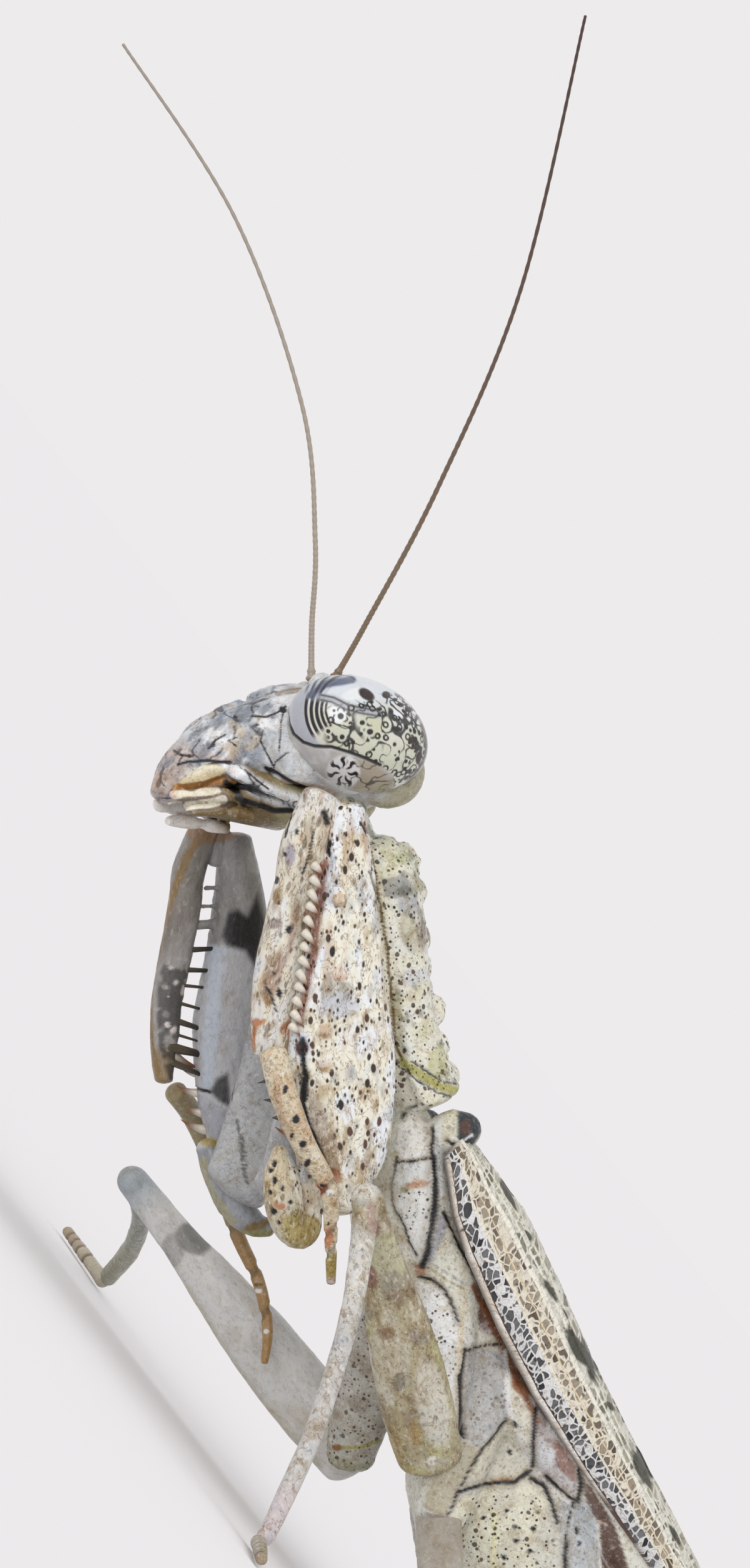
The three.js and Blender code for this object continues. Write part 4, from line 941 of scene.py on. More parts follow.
FORE_COXA = [
    [-1.55, 1.45, 11.9, 0.6, 0.85, 0.9, 2.3],
    [-0.95, 1.7, 10.9, 0.6, 0.95, 1.1, 2.4],
    [0.1, 1.8, 9.5, 0.58, 1.0, 1.3, 2.5],
    [1.25, 1.85, 7.95, 0.58, 1.05, 1.3, 2.5],
    [2.05, 1.9, 6.45, 0.58, 1.05, 1.15, 2.5],
    [2.4, 1.95, 5.3, 0.58, 0.9, 0.9, 2.4],
]
FORE_TOP = 11.9                         # height at which the fore coxae start to swing
FORE_APEX = (2.75, 5.55)
FORE_KNEE = (-4.3, 12.75)
FORE_FOLD = {"left": 0, "right": 3}
FORE_REACH = {"left": (0, 0), "right": (-0.15, 0.1)}
FORE_DROP = {"left": (-0.15, -0.19), "right": (0.24, -0.95)}
FORE_LENGTH = {"left": 1, "right": 0.9}
WALKING_LEGS = {
    "mid_left": [[6.75, -1.6, 8.2], [10.0, -3.3, 4.75], [2.65, -7.3, 7.7], [7.35, -9.6, 0.5], [6.95, -12.7, 0.2]],
    "mid_right": [[6.75, 0.9, 6.9], [10.15, 2.3, 2.9], [1.3, 4.7, 2.85], [4.5, 11.4, 0.45], [3.3, 14.2, 0.2]],
    "hind_left": [[9.6, -1.7, 7.3], [11.45, -3.2, 3.95], [13.6, -10.5, 1.3], [22.0, -13.4, 0.45], [24.2, -15.4, 0.2]],
    "hind_right": [[9.6, 0.9, 6.4], [11.6, 2.1, 4.4], [16.9, 9.4, 1.9], [23.2, 12.9, 0.45], [25.0, 14.5, 0.2]],
}


def fore_pose(name, sign, beyond, length=1.0):
    """Puts points of the left foreleg on either side, in that side's pose."""
    dx, dz = FORE_DROP[name] if beyond else FORE_REACH[name]
    px, pz = FORE_APEX
    kx, kz = FORE_KNEE
    a = math.radians(FORE_FOLD[name])

    def place(p):
        share = np.ones(len(p)) if beyond else (FORE_TOP - p[:, 2]) / (FORE_TOP - pz)
        x, z = p[:, 0], p[:, 2]
        if beyond:
            x, z = kx + (x - kx) * length, kz + (z - kz) * length
            x, z = (px + (x - px) * math.cos(a) - (z - pz) * math.sin(a),
                    pz + (x - px) * math.sin(a) + (z - pz) * math.cos(a))
        return np.stack([x + dx * share, sign * p[:, 1], z + dz * share], 1)
    return place


def posed_rows(rows, place):
    rows = np.array(rows, float)
    return np.concatenate([place(rows[:, :3]), rows[:, 3:]], 1).tolist()


def limb_rows(start, end, halves, flat=1.0, bow=(0, 0, 0)):
    t = np.linspace(0, 1, len(halves))[:, None]
    centre = np.array(start) + (np.array(end) - np.array(start)) * t + 4 * t * (1 - t) * np.array(bow)
    return [[*c, h * flat, h, h, 2.2] for c, h in zip(centre.tolist(), halves)]


def near_limb(points, start, end, reach):
    """Share of belonging to a limb that runs from start to end."""
    a, b = np.array(start, float), np.array(end, float)
    t = np.clip(((points - a) @ (b - a)) / ((b - a) @ (b - a)), 0, 1)
    return step(reach * 1.08, reach * 0.94, np.linalg.norm(points - a - t[:, None] * (b - a), axis=1))


t = np.linspace(0, 1, 60)
fine_rows = smooth_rows(ABDOMEN, t)
ripple = 0.95 + 0.05 * np.sin(np.pi * ((t * ABDOMEN_SEGMENTS) % 1))
fine_rows[:, 3:6] *= ripple[:, None]
parts = [tube(PROTHORAX, spacing=0.14, bulge=0.3), tube(PTEROTHORAX, spacing=0.14, bulge=0.35),
         tube(fine_rows.tolist(), spacing=0.14, bulge=0.6)]
parts.append(tube([[-5.0, 0.3, 13.4, 1.1, 0.7, 0.7], [-3.8, 0, 13.15, 1.12, 0.72, 0.77],
                   [-2.4, 0, 12.65, 1.15, 0.75, 0.82]], spacing=0.14))
for _, sign in SIDES:
    parts.append(tube([[8.6, sign * 1.5, 6.9, 0.6, 0.4, 0.6], [10, sign * 1.8, 6.78, 0.7, 0.5, 0.7],
                       [12.6, sign * 1.95, 6.72, 0.75, 0.55, 0.8], [16, sign * 1.9, 6.55, 0.7, 0.5, 0.8],
                       [19, sign * 1.4, 6.5, 0.5, 0.4, 0.6], [20.6, sign * 0.8, 6.3, 0.3, 0.25, 0.4]], spacing=0.14))
for side, sign in SIDES:
    for x, y, z, half in PRONOTUM_LUMPS:
        parts.append(ball((x, sign * y, z), (half * 1.1, half, half), 28, 0.1))
    parts.append(ball((4.2, sign * 1.45, 9.95), (0.6, 0.55, 0.85), 25, 0.1))
    parts.append(tube([[20.9, sign * 0.7, 4.9, 0.26, 0.24, 0.24], [21.9, sign * 1.15, 4.75, 0.24, 0.24, 0.24],
                       [22.7, sign * 1.5, 4.65, 0.1, 0.1, 0.1]], spacing=0.07))
    ridge = [(-2.7, 1.75, 12.6), (-1.4, 2.03, 12.0), (-0.2, 1.98, 11.45), (1.0, 1.86, 10.75), (2.0, 1.9, 10.1),
             (3.0, 1.98, 9.75)]
    parts.append(tube([[x, sign * y, z, 0.14, 0.14, 0.14] for x, y, z in ridge], spacing=0.08))
    parts.append(tube(posed_rows(FORE_COXA, fore_pose(side, sign, False)), spacing=0.12))
for root, trochanter, *_ in WALKING_LEGS.values():
    coxa = tube(limb_rows(root, trochanter, [0.86, 0.9, 0.69]), spacing=0.12)
    parts.append(coxa.move(lambda p: lean(p, -LEAN)))
body = fused(parts, FINE, 3)

floor_points = lean(body.points)
at = wandering(on_sheet(near_side(body.points)), body.points, 0.35, 71, 1.6)
plain = wandering(on_sheet(seen(floor_points)), body.points, 0.35, 71, 1.6)
aside = step(0.3, 0.7, np.abs(body.normals()[:, 1]))
cloud, broad = layered(body.points, 0.55, 15), layered(body.points, 1.3, 16)
tint = laid((0.68, 0.67, 0.58),
    (step(0.0, 0.5, broad) * 0.8, WHITE),
    (step(0.0, -0.4, broad) * 0.6, BEIGE))
dotty = np.full(len(at), 0.35)
ink = np.zeros(len(at))
pro = step(3.4, 3.1, body.points[:, 0]) * step(9.2, 9.6, body.points[:, 2])
PRONOTUM_FIELDS = [
    ((631, 1358), 24, 30, 0, GREEN, 0.35), ((647, 1376), 14, 12, 0, (0.32, 0.38, 0.12), 0.5),
    ((629, 1419), 30, 18, 0, INK, 0.55), ((672, 1415), 10, 16, 0, OLIVE, 0.7), ((654, 1453), 18, 16, 0, GREY, 0.8),
    ((663, 1566), 24, 16, 0, (0.60, 0.62, 0.63), 0.8), ((665, 1508), 16, 22, 0, (0.40, 0.34, 0.20), 0.5),
    ((701, 1702), 16, 24, 0, GREEN, 0.6), ((676, 1494), 10, 24, 0, BROWN, 0.45),
    ((651, 1485), 12, 26, 0, OLIVE, 0.4),
]

# pronotum: cream with a yellow-green front, dark and grey fields and dots all over
dotty = np.maximum(dotty, pro)
tint = laid(tint,
    (pro * 0.85, (0.76, 0.75, 0.64)),
    (pro * step(0.15, 0.5, cloud) * 0.35, GREEN),
    (pro * step(0.0, -0.4, cloud) * 0.6, (0.7, 0.72, 0.72)),
    (pro * step(0.12, 0.45, layered(body.points, 0.32, 33)) * 0.75, (0.2, 0.21, 0.15)),
    *blots(at, PRONOTUM_FIELDS, cloud * 0.5, pro))
ridge = to_line(at, [(590, 1363), (596, 1377), (608, 1449), (617, 1503), (625, 1571), (633, 1675), (648, 1707)])
tint = laid(tint,
    (step(11, 7, ridge) * pro * 0.8, (0.68, 0.65, 0.5)),
    (step(3.4, 1.6, ridge) * pro, (0.16, 0.1, 0.03)))
edge = to_line(at, [(644, 1702), (665, 1716), (685, 1730), (706, 1743), (724, 1748), (744, 1750)])
tint = laid(tint, (step(9, 5, edge), (0.4, 0.38, 0.13)))
ink = np.maximum(ink, step(2.2, 1.0, np.abs(edge - 10)) * 0.9 * step(0.0, 1.0, at[:, 1] - 1698))

SIDE_FIELDS = [
    ([(648, 1785), (676, 1769), (692, 1813), (695, 1850), (634, 1862), (634, 1820)], (0.76, 0.75, 0.70)),
    ([(634, 1862), (695, 1855), (701, 1897), (691, 1975), (671, 2031), (655, 1992), (631, 1932), (626, 1897)],
     (0.70, 0.71, 0.69)),
    ([(705, 1939), (722, 1957), (691, 2024), (687, 2031), (682, 2024), (694, 1978)], (0.40, 0.45, 0.55)),
    ([(722, 1957), (754, 2024), (759, 2066), (740, 2104), (687, 2038)], (0.66, 0.66, 0.57)),
    ([(671, 2055), (705, 2066), (726, 2101), (741, 2118), (733, 2206), (722, 2252), (698, 2206), (669, 2101)],
     (0.74, 0.75, 0.74)),
    ([(743, 2168), (778, 2164), (808, 2171), (813, 2241), (817, 2300), (740, 2300)], (0.42, 0.42, 0.42)),
    ([(743, 2200), (811, 2200), (816, 2276), (769, 2326), (739, 2309)], (0.44, 0.44, 0.43)),
    ([(816, 2280), (832, 2286), (849, 2353), (832, 2376), (738, 2386)], (0.55, 0.53, 0.44)),
    ([(852, 2260), (895, 2309), (928, 2359), (922, 2406), (885, 2379), (854, 2356)], (0.50, 0.48, 0.49)),
    ([(650, 2326), (710, 2326), (743, 2309), (769, 2329), (734, 2389), (713, 2432), (663, 2412)], (0.42, 0.39, 0.29)),
    ([(661, 2422), (720, 2429), (716, 2615), (673, 2615)], (0.38, 0.34, 0.30)),
    ([(743, 2399), (792, 2389), (849, 2386), (882, 2412), (895, 2452), (902, 2615), (713, 2615), (720, 2439)],
     (0.66, 0.65, 0.53)),
    ([(895, 2412), (922, 2406), (952, 2416), (972, 2615), (905, 2615)], (0.44, 0.47, 0.49)),
]
SIDE_SPOTS_AND_WING_SHADOW = [
    ((668, 1899), 20, 8, -10, (0.48, 0.22, 0.07), 0.75), ((648, 1908), 8, 5, 0, OLIVE, 0.7),
    ((633, 1855), 7, 9, 0, (0.40, 0.34, 0.10), 0.8), ((673, 2038), 9, 10, 0, (0.42, 0.16, 0.05), 0.95),
    # the very dark brown spot at (782, 2108), under the wing's edge, is a painted shadow of the wing
    ((782, 2108), 16, 30, 20, (0.10, 0.045, 0.03), 0.95), ((785, 2132), 16, 14, 0, (0.34, 0.27, 0.26), 0.7),
    ((836, 2220), 14, 26, -30, (0.38, 0.14, 0.05), 0.9), ((905, 2346), 12, 30, -28, (0.24, 0.12, 0.09), 0.85),
    ((865, 2273), 14, 26, 0, (0.30, 0.26, 0.26), 0.8), ((875, 2339), 14, 20, 0, (0.66, 0.68, 0.70), 0.7),
    ((754, 2268), 8, 6, 0, (0.30, 0.24, 0.16), 0.6), ((880, 2490), 22, 70, 0, (0.46, 0.46, 0.43), 0.5),
]
SIDE_STREAKS = [
    ([(758, 2062), (804, 2158), (832, 2222), (862, 2282)], 5, (0.26, 0.11, 0.055)),
    ([(631, 1855), (662, 1851), (695, 1842)], 3, (0.76, 0.76, 0.74)),
    ([(629, 1866), (632, 1904), (634, 1932), (648, 1961), (659, 1992), (671, 2017)], 3, WHITE),
    ([(747, 2066), (741, 2118), (735, 2189), (731, 2276)], 3, (0.66, 0.58, 0.42)),
    ([(810, 2168), (812, 2203), (815, 2241)], 3, WHITE),
    ([(811, 2200), (812, 2233), (819, 2273)], 4, (0.76, 0.76, 0.76)),
    ([(826, 2280), (836, 2313), (850, 2351)], 4, (0.74, 0.74, 0.73)),
    ([(819, 2283), (786, 2316), (759, 2353), (743, 2379)], 2.5, (0.62, 0.60, 0.46)),
    ([(792, 2429), (791, 2615)], 4, (0.68, 0.66, 0.42)),
    ([(746, 2399), (723, 2439), (715, 2615)], 3, (0.64, 0.62, 0.48)),
    ([(859, 2366), (885, 2389), (912, 2412)], 4, (0.70, 0.71, 0.71)),
    ([(786, 2377), (806, 2375), (819, 2376)], 2, (0.55, 0.25, 0.06)),
    ([(729, 2200), (731, 2240), (734, 2266), (744, 2309)], 3, (0.64, 0.63, 0.58)),
    ([(682, 2031), (705, 2045), (726, 2059), (745, 2068)], 1.6, (0.36, 0.34, 0.22)),
    ([(687, 2024), (708, 2036), (726, 2048), (747, 2062)], 1.4, GREY),
]
SIDE_SEAMS = [
    ([(643, 1789), (654, 1776), (673, 1769), (687, 1780), (692, 1813), (693, 1852)], 3.2),
    ([(695, 1852), (698, 1890), (698, 1932), (690, 1975), (683, 2010), (675, 2031)], 4.6),
    ([(634, 1863), (662, 1861), (693, 1855)], 1.4),
    ([(634, 1855), (625, 1901), (627, 1932), (645, 1961), (655, 1992), (666, 2013)], 1.4),
    ([(671, 2048), (691, 2051), (712, 2069), (726, 2094), (734, 2118)], 2.4),
    ([(747, 2164), (740, 2206), (738, 2241), (739, 2300)], 2.6),
    ([(713, 1946), (733, 1992), (754, 2031), (775, 2073)], 2.6), ([(750, 2166), (778, 2159), (803, 2157)], 2.0),
    ([(812, 2278), (792, 2303), (769, 2331), (753, 2356), (739, 2381)], 1.8),
    ([(734, 2392), (763, 2385), (792, 2381), (821, 2381)], 3.2), ([(822, 2382), (836, 2372), (851, 2363)], 2.6),
    ([(859, 2260), (855, 2309), (854, 2356)], 2.6), ([(736, 2207), (740, 2240), (740, 2283), (743, 2306)], 2.2),
    ([(874, 2372), (894, 2389), (914, 2407), (927, 2412)], 2.2),
    ([(852, 2374), (872, 2386), (885, 2412), (894, 2445)], 3.4), ([(909, 2475), (906, 2499), (908, 2615)], 3.0),
    ([(733, 2389), (726, 2416), (715, 2432)], 1.6), ([(920, 2412), (912, 2445), (906, 2485)], 1.2),
    ([(930, 2359), (932, 2386), (927, 2412)], 3.0),
]
SIDE_SPECKS = [
    ((926, 2459), 4, 7), ((929, 2477), 3, 5), ((826, 2452), 5, 4), ((827, 2475), 6, 5), ((812, 2425), 5, 4),
    ((807, 2501), 5, 5), ((774, 2438), 4, 4), ((849, 2491), 4, 4), ((863, 2429), 3, 5), ((854, 2454), 5, 4),
    ((826, 2288), 4, 5), ((817, 2331), 4, 5),
]

# side of the thorax
side_on = aside * (1 - pro)
tint = laid(tint,
    *[(inside(at, corners) * side_on, colour) for corners, colour in SIDE_FIELDS],
    (side_on * step(0.15, 0.5, cloud) * 0.35, (0.4, 0.38, 0.32)),
    *blots(at, SIDE_SPOTS_AND_WING_SHADOW, cloud * 0.5, side_on))
under = inside(at, [(928, 2359), (955, 2399), (988, 2452), (1038, 2615), (972, 2615), (962, 2452),
    (938, 2406)]) * side_on
tint = laid(tint, (under, (0.12, 0.075, 0.06)))
near, ident = grains(body.points, 0.26, 5)
tint = laid(tint,
    (under * step(0.08, 0.05, near) * step(0.3, 0.5, ident), (0.55, 0.45, 0.38)),
    *[(stroke(at, path, half) * side_on, colour) for path, half, colour in SIDE_STREAKS])
# painted shade: a wide soft darkening along each seam, under the seam's dark line
for path, half in SIDE_SEAMS:
    tint = laid(tint, (stroke(at, path, half * 3.2) * side_on * 0.45, (0.3, 0.26, 0.2)))
    ink = np.maximum(ink, step(half * 1.5, half * 0.6, to_line(at, path) * (1 + 0.5 * cloud)) * side_on)
ink = np.maximum(ink, specks(at, SIDE_SPECKS, cloud * 0.4) * side_on)
marked = (inside(at, [(676, 2076), (705, 2076), (726, 2115), (731, 2206), (712, 2206), (691, 2136)])
    + inside(at, [(720, 2406), (786, 2399), (882, 2406), (899, 2615), (716, 2615)])
    + inside(at, [(634, 1904), (687, 1904), (691, 1975), (666, 1996), (634, 1932)])
    + inside(at, [(746, 2220), (809, 2220), (809, 2293), (753, 2286)]) * 0.6)
dotty = np.maximum(dotty, marked * side_on)
dotty = dotty * (1 - inside(at, [(650, 2326), (710, 2326), (734, 2389), (713, 2615), (653, 2615)]) * side_on * 0.9)

ink = np.maximum(ink, stroke(at, [(643, 1791), (654, 1777), (673, 1770), (688, 1781)], 3.2) * aside)
tint = laid(tint, (stroke(at, [(698, 1778), (702, 1850), (708, 1912)], 6) * side_on * 0.8, (0.72, 0.74, 0.74)))

# wing base: a cream plate with a blue-black glossy rear half
TEGULA_MARK = (741, 1803)
tegula = at - TEGULA_MARK
round_it = np.hypot(tegula[:, 0], tegula[:, 1] / 1.25)
boss = step(2.9, 3.3, body.points[:, 0]) * step(9.4, 9.7, body.points[:, 2])
tint = laid(tint, (step(34, 28, round_it) * boss, (0.64, 0.62, 0.48)))
dark = step(35, 31, round_it) * boss * step(-11, -4, tegula[:, 0])
tint = laid(tint, (dark, (0.03, 0.045, 0.06)))
ink = ink * (1 - boss * step(36, 30, round_it)) + dark * 0.5
tint = laid(tint, (boss * blot(at, (746, 1808), 9, 14), (0.15, 0.075, 0.05)))
ink = np.maximum(ink, stroke(at, [(716, 1830), (733, 1840), (756, 1836)], 3) * boss)
glint = stroke(at, [(724, 1826), (741, 1831), (757, 1821)], 2.4) * boss
tint = laid(tint, (glint, (0.7, 0.72, 0.74)))
ink = ink * (1 - glint)
COXA_LINES = [
    ([(385, 1822), (389, 1856), (390, 1890)], 1.2), ([(376, 1800), (383, 1836), (385, 1875), (393, 1904)], 2.0),
    ([(371, 1720), (368, 1768)], 1.0),
]

# coxae: grey smooth ones of the forelegs, spotted far middle one
for side, sign in SIDES:
    rows = np.array(posed_rows(FORE_COXA, fore_pose(side, sign, False)))
    own = near_limb(body.points, rows[0, :3] + (0.7, 0, -1.2), rows[-1, :3], 1.25) * (1 - pro)
    tint = laid(tint,
        (own, (0.37, 0.38, 0.39)),
        (own * step(0.05, 0.4, layered(squeezed(body.points, rows[0, :3], rows[-1, :3], 0.2), 0.5, 8)) * 0.5,
            (0.5, 0.51, 0.51)))
    if side == "left":
        tint = laid(tint, (own * step(616, 632, at[:, 0]) * 0.8, (0.68, 0.67, 0.6)))
    dotty = dotty * (1 - own * 0.75)
    ink = ink * (1 - own)
tint = laid(tint,
    *[(stroke(plain, path, half) * step(1.0, 1.4, body.points[:, 1] + 2.0), (0.14, 0.14, 0.13))
        for path, half in COXA_LINES])
for name, (root, trochanter, *_) in WALKING_LEGS.items():
    if not name.endswith("right"):
        continue
    own = near_limb(floor_points, np.array(root) + (0.9, 0.3, -1.0), trochanter, 1.0)
    tint = laid(tint,
        (own, (0.48, 0.47, 0.42)),
        (own * step(0.1, 0.5, cloud) * 0.7, (0.3, 0.25, 0.19)),
        (own * step(0.8, 0.7, np.linalg.norm(floor_points - np.array(trochanter), axis=1)), (0.34, 0.33, 0.23)),
        (own * stroke(plain, [(535, 2342), (574, 2339), (614, 2326)], 3), (0.36, 0.32, 0.1)),
        (own * blot(plain, (538, 2340), 8, 6), (0.22, 0.1, 0.03)))
    dotty = np.maximum(dotty * (1 - own), own * 0.9)
    ink = ink * (1 - own)
body.facts = {"tint": tint, "ink": ink, "dotty": dotty}
near_grain, ident = grains(body.points, 0.27, 3)
granule = step(0.13, 0.03, near_grain) * step(0.35, 0.8, ident)
rough = layered(body.points, 0.8, 1) * 0.05 + granule * (0.015 + 0.045 * pro)
body.push(rough + layered(body.points, 0.22, 9) * 0.012 - ink * 0.05)
body.move(lean)
body_nodes = ["neck", "prothorax", "pterothorax", "abdomen", "fore_coxa_left", "fore_coxa_right"]
body_nodes += [leg.replace("_", "_coxa_") for leg in WALKING_LEGS]
add("body_skin", body, body_skin, body_nodes)


# ------------------------------------------------------------------ tegmina

WING_START, WING_END = 4.35, 22.7
WING_OUTER_Y = [[4.35, 2.35], [6.5, 2.9], [8.5, 3.05], [12.6, 3.0], [16, 2.75], [19, 2.3], [21.5, 1.45], [22.7, 0.6]]
WING_OUTER_Z = [[4.35, 9.3], [5.57, 8.45], [6.53, 8.0], [8.52, 7.42], [10.55, 7.05], [12.6, 6.87], [15.7, 6.7],
                [20, 6.75], [22.7, 6.95]]
WING_CREST_Z = [[4.35, 10.3], [5.05, 10.42], [7.14, 10.34], [9.18, 9.9], [11.22, 9.32], [13.26, 8.88], [16.96, 8.17],
                [20, 7.6], [22.7, 7.05]]
WING_INNER_Y = [[4.35, -0.55], [7.4, -0.3], [9.5, 0.85], [19, 0.85], [21.5, 0.5], [22.7, -0.2]]
WING_SEEN_LOW = [[4.3, 9.9], [5, 9.75], [6, 9.1], [7, 8.75], [9, 8.2], [11, 7.85], [13, 7.65], [16, 7.4], [22, 7.1]]
WING_SEEN_HIGH = [[5, 10.55], [7, 10.45], [9, 10.1], [11, 9.55], [13, 9.1], [16.6, 8.3], [22, 7.15]]
WING_PATCHES = [((935, 2176), 62, 11), ((1028, 2360), 38, 10), ((816, 1924), 24, 4), ((884, 2077), 22, 4),
                ((1084, 2473), 18, 4), ((845, 1985), 12, 4), ((980, 2262), 12, 4), ((905, 2110), 12, 4)]
WING_VEINS = ((0.015, 0.010), (0.075, 0.007), (0.30, 0.010), (0.40, 0.008), (0.52, 0.010), (0.66, 0.008),
    (0.76, 0.012), (0.88, 0.008))


def along(pairs, x):
    pairs = np.array(pairs)
    return np.interp(x, pairs[:, 0], pairs[:, 1])


def wing_points(x, v, lower):
    outer = along(WING_OUTER_Y, x)
    inner = along(WING_INNER_Y, x)
    y = -outer + (outer + inner) * (1 - (1 - v) ** 1.35)
    rim = along(WING_OUTER_Z, x)
    crest = along(WING_CREST_Z, x)
    share = np.minimum(np.abs(y) / outer, 1)
    arch = (1 - share ** 2.6) ** (1 / 2.2)
    tuck = lower * 0.93 * np.interp(x, [4.8, 7.5], [0, 1]) * np.interp(y, [-2.6, -1.4], [0, 1])
    return np.stack([x, y, rim + (crest - rim) * arch - tuck], 1)


def wing(name, sign):
    rows, cols = ((360, 140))
    x = np.linspace(WING_START, WING_END, rows)
    v = np.linspace(0, 1, cols) ** 0.8
    xx, vv = (a.ravel() for a in np.meshgrid(x, v, indexing="ij"))
    top = wing_points(xx, vv, 1 if sign > 0 else 0)
    view = near_side(top)
    low_edge, high_edge = along(WING_SEEN_LOW, view[:, 0]), along(WING_SEEN_HIGH, view[:, 0])
    over = (view[:, 1] - low_edge) / np.maximum(high_edge - low_edge, 0.3)
    grid = top.reshape(rows, cols, 3)
    steps = np.linalg.norm(np.diff(grid, axis=1), axis=2)
    run = np.concatenate([np.zeros((rows, 1)), np.cumsum(steps, axis=1)], 1)
    # beyond the crest the share keeps growing with the way across the wing
    peak = np.maximum.accumulate(over.reshape(rows, cols), axis=1)
    crest_at = over.reshape(rows, cols).argmax(axis=1)
    past = np.maximum(run - run[np.arange(rows), crest_at][:, None], 0)
    crossed = peak.ravel() * np.maximum(high_edge - low_edge, 0.3) + past.ravel()
    over = np.clip(peak + past * 0.35, 0, 2).ravel()
    over = np.where(over > 1, 1 - np.abs((over - 1) % 1.0) * 0.9, over)
    shape = layered(top, 0.5, 24)
    over = np.clip(over + 0.012 * layered(top, 2.5, 25), 0, 1)
    vein = np.zeros(len(top))
    for place, half in WING_VEINS:
        vein = np.maximum(vein, step(half * 1.8, half * 0.6, np.abs(over - place)))
    normal = unit(np.cross(np.gradient(grid, axis=0), np.gradient(grid, axis=1)).reshape(-1, 3))
    normal[normal[:, 2] < 0] *= -1
    rise = vein * 0.05 + layered(top, 0.5, 21) * 0.03 + layered(top, 1.6, 22) * 0.04
    up = top + normal * (rise + 0.02)[:, None]
    down = top - normal * 0.3
    if sign > 0:
        up, down = up * np.array([1, -1, 1]), down * np.array([1, -1, 1])
    count = rows * cols
    k = np.arange(count).reshape(rows, cols)
    a, b, c, d = k[:-1, :-1].ravel(), k[1:, :-1].ravel(), k[1:, 1:].ravel(), k[:-1, 1:].ravel()
    faces = np.stack([a, b, c, d], 1).tolist() + np.stack([d + count, c + count, b + count, a + count], 1).tolist()
    edges = (k[:-1, 0], k[1:, 0]), (k[1:, -1], k[:-1, -1]), (k[0, 1:], k[0, :-1]), (k[-1, :-1], k[-1, 1:])
    for first, second in edges:
        faces += np.stack([first, first + count, second + count, second], 1).tolist()
    at = on_sheet(view)
    patch = specks(at, WING_PATCHES, shape * 0.9, 60)
    lining = laid((0.5, 0.46, 0.46), (step(0.0, 0.4, shape) * 0.6, (0.38, 0.33, 0.33)))
    near, ident = grains(top, 0.22, 27)
    lining = laid(lining,
        (step(2385, 2420, at[:, 1]), (0.2, 0.13, 0.1)),
        (step(2385, 2420, at[:, 1]) * step(0.07, 0.045, near) * step(0.4, 0.5, ident), (0.7, 0.62, 0.54)))
    both = {
        "over": over, "patch": patch * step(0.6, 0.8, over) * 0.95,
        "cellspace": np.stack([xx, crossed, np.zeros(len(xx))], 1),
        "cloth": top, "tint": lining,
    }
    form = Form(np.concatenate([up, down]), faces, **{key: np.concatenate([val, val]) for key, val in both.items()})
    form.facts["under"] = np.concatenate([np.zeros(count), np.ones(count)])
    form = face_out(form)
    form.move(lean)
    add(f"wing_{name}", form, wing_material, [f"tegmen_{name}"])


for side, sign in SIDES:
    wing(side, sign)


# ----------------------------------------------------------------- forelegs

FEMUR_Y = 3.25
FORE_FEMUR = [
    [3.05, FEMUR_Y, 6.0, 0.58, 0.75, 0.8, 2.3],
    [2.2, FEMUR_Y, 7.1, 0.62, 1.15, 1.3, 2.4],
    [1.2, FEMUR_Y, 8.0, 0.64, 1.4, 1.45, 2.4],
    [0.2, FEMUR_Y, 8.9, 0.65, 1.5, 1.4, 2.4],
    [-0.8, FEMUR_Y, 9.8, 0.64, 1.38, 1.1, 2.4],
    [-1.9, FEMUR_Y, 10.75, 0.6, 1.05, 0.92, 2.4],
    [-3.1, FEMUR_Y, 11.8, 0.56, 0.8, 0.72, 2.4],
    [-4.3, FEMUR_Y, 12.75, 0.52, 0.6, 0.5, 2.3],
]
FORE_TIBIA = [
    [-5.0, FEMUR_Y, 12.45, 0.42, 0.4, 0.46, 2.2],
    [-4.5, FEMUR_Y, 11.35, 0.4, 0.47, 0.47, 2.2],
    [-3.92, FEMUR_Y, 10.65, 0.4, 0.47, 0.47, 2.2],
    [-3.15, FEMUR_Y, 9.6, 0.38, 0.47, 0.47, 2.2],
    [-2.47, FEMUR_Y, 8.68, 0.36, 0.45, 0.45, 2.2],
    [-1.7, FEMUR_Y, 7.82, 0.33, 0.42, 0.4, 2.2],
    [-1.0, FEMUR_Y, 7.15, 0.28, 0.3, 0.25, 2.2],
]
FORE_TARSUS = {
    "left": [[-1.1, 4.0, 6.95], [-0.1, 4.3, 6.4], [1.1, 4.3, 6.05], [2.45, 4.3, 5.8], [3.5, 4.1, 5.1],
             [4.4, 3.9, 4.45]],
    "right": [[-0.2, 4.0, 6.2], [0.8, 4.6, 6.3], [2.2, 4.55, 5.9], [3.8, 4.3, 5.2], [5.0, 3.5, 4.65],
              [6.0, 3.2, 4.0], [6.6, 3.1, 3.35]],
}
TARSUS_HALVES = {"left": [0.36, 0.36, 0.31, 0.24, 0.17, 0.12], "right": [0.3, 0.3, 0.26, 0.2, 0.17, 0.15, 0.1]}


def under_marks(marks, y):
    """Body-frame points with the given y that show at marks on the picture plane."""
    m = (np.array(marks, float).reshape(-1, 2) - SHEET_ZERO) / SHEET_SCALE
    r, z = ALONG * m[:, 0] + CLIMB * m[:, 1], CLIMB * m[:, 0] - ALONG * m[:, 1]
    h = (z - LEAN_HEIGHT + y * math.sin(LEAN)) / math.cos(LEAN)
    across = y * math.cos(LEAN) + h * math.sin(LEAN)
    x = (r + across * math.sin(VIEW_TURN)) / math.cos(VIEW_TURN)
    return np.stack([x, np.full(len(x), float(y)), LEAN_HEIGHT + h], 1)


def spikes_at(pairs, y, half, hook=(0, 0, 0), out=0.0):
    """Spikes from one mark to another on the picture plane, their tips `out` further along y."""
    made = []
    for root, tip in pairs:
        a, b = under_marks([root], y)[0], under_marks([tip], y + out)[0]
        made.append(spike(a, b, half, hook))
    return made


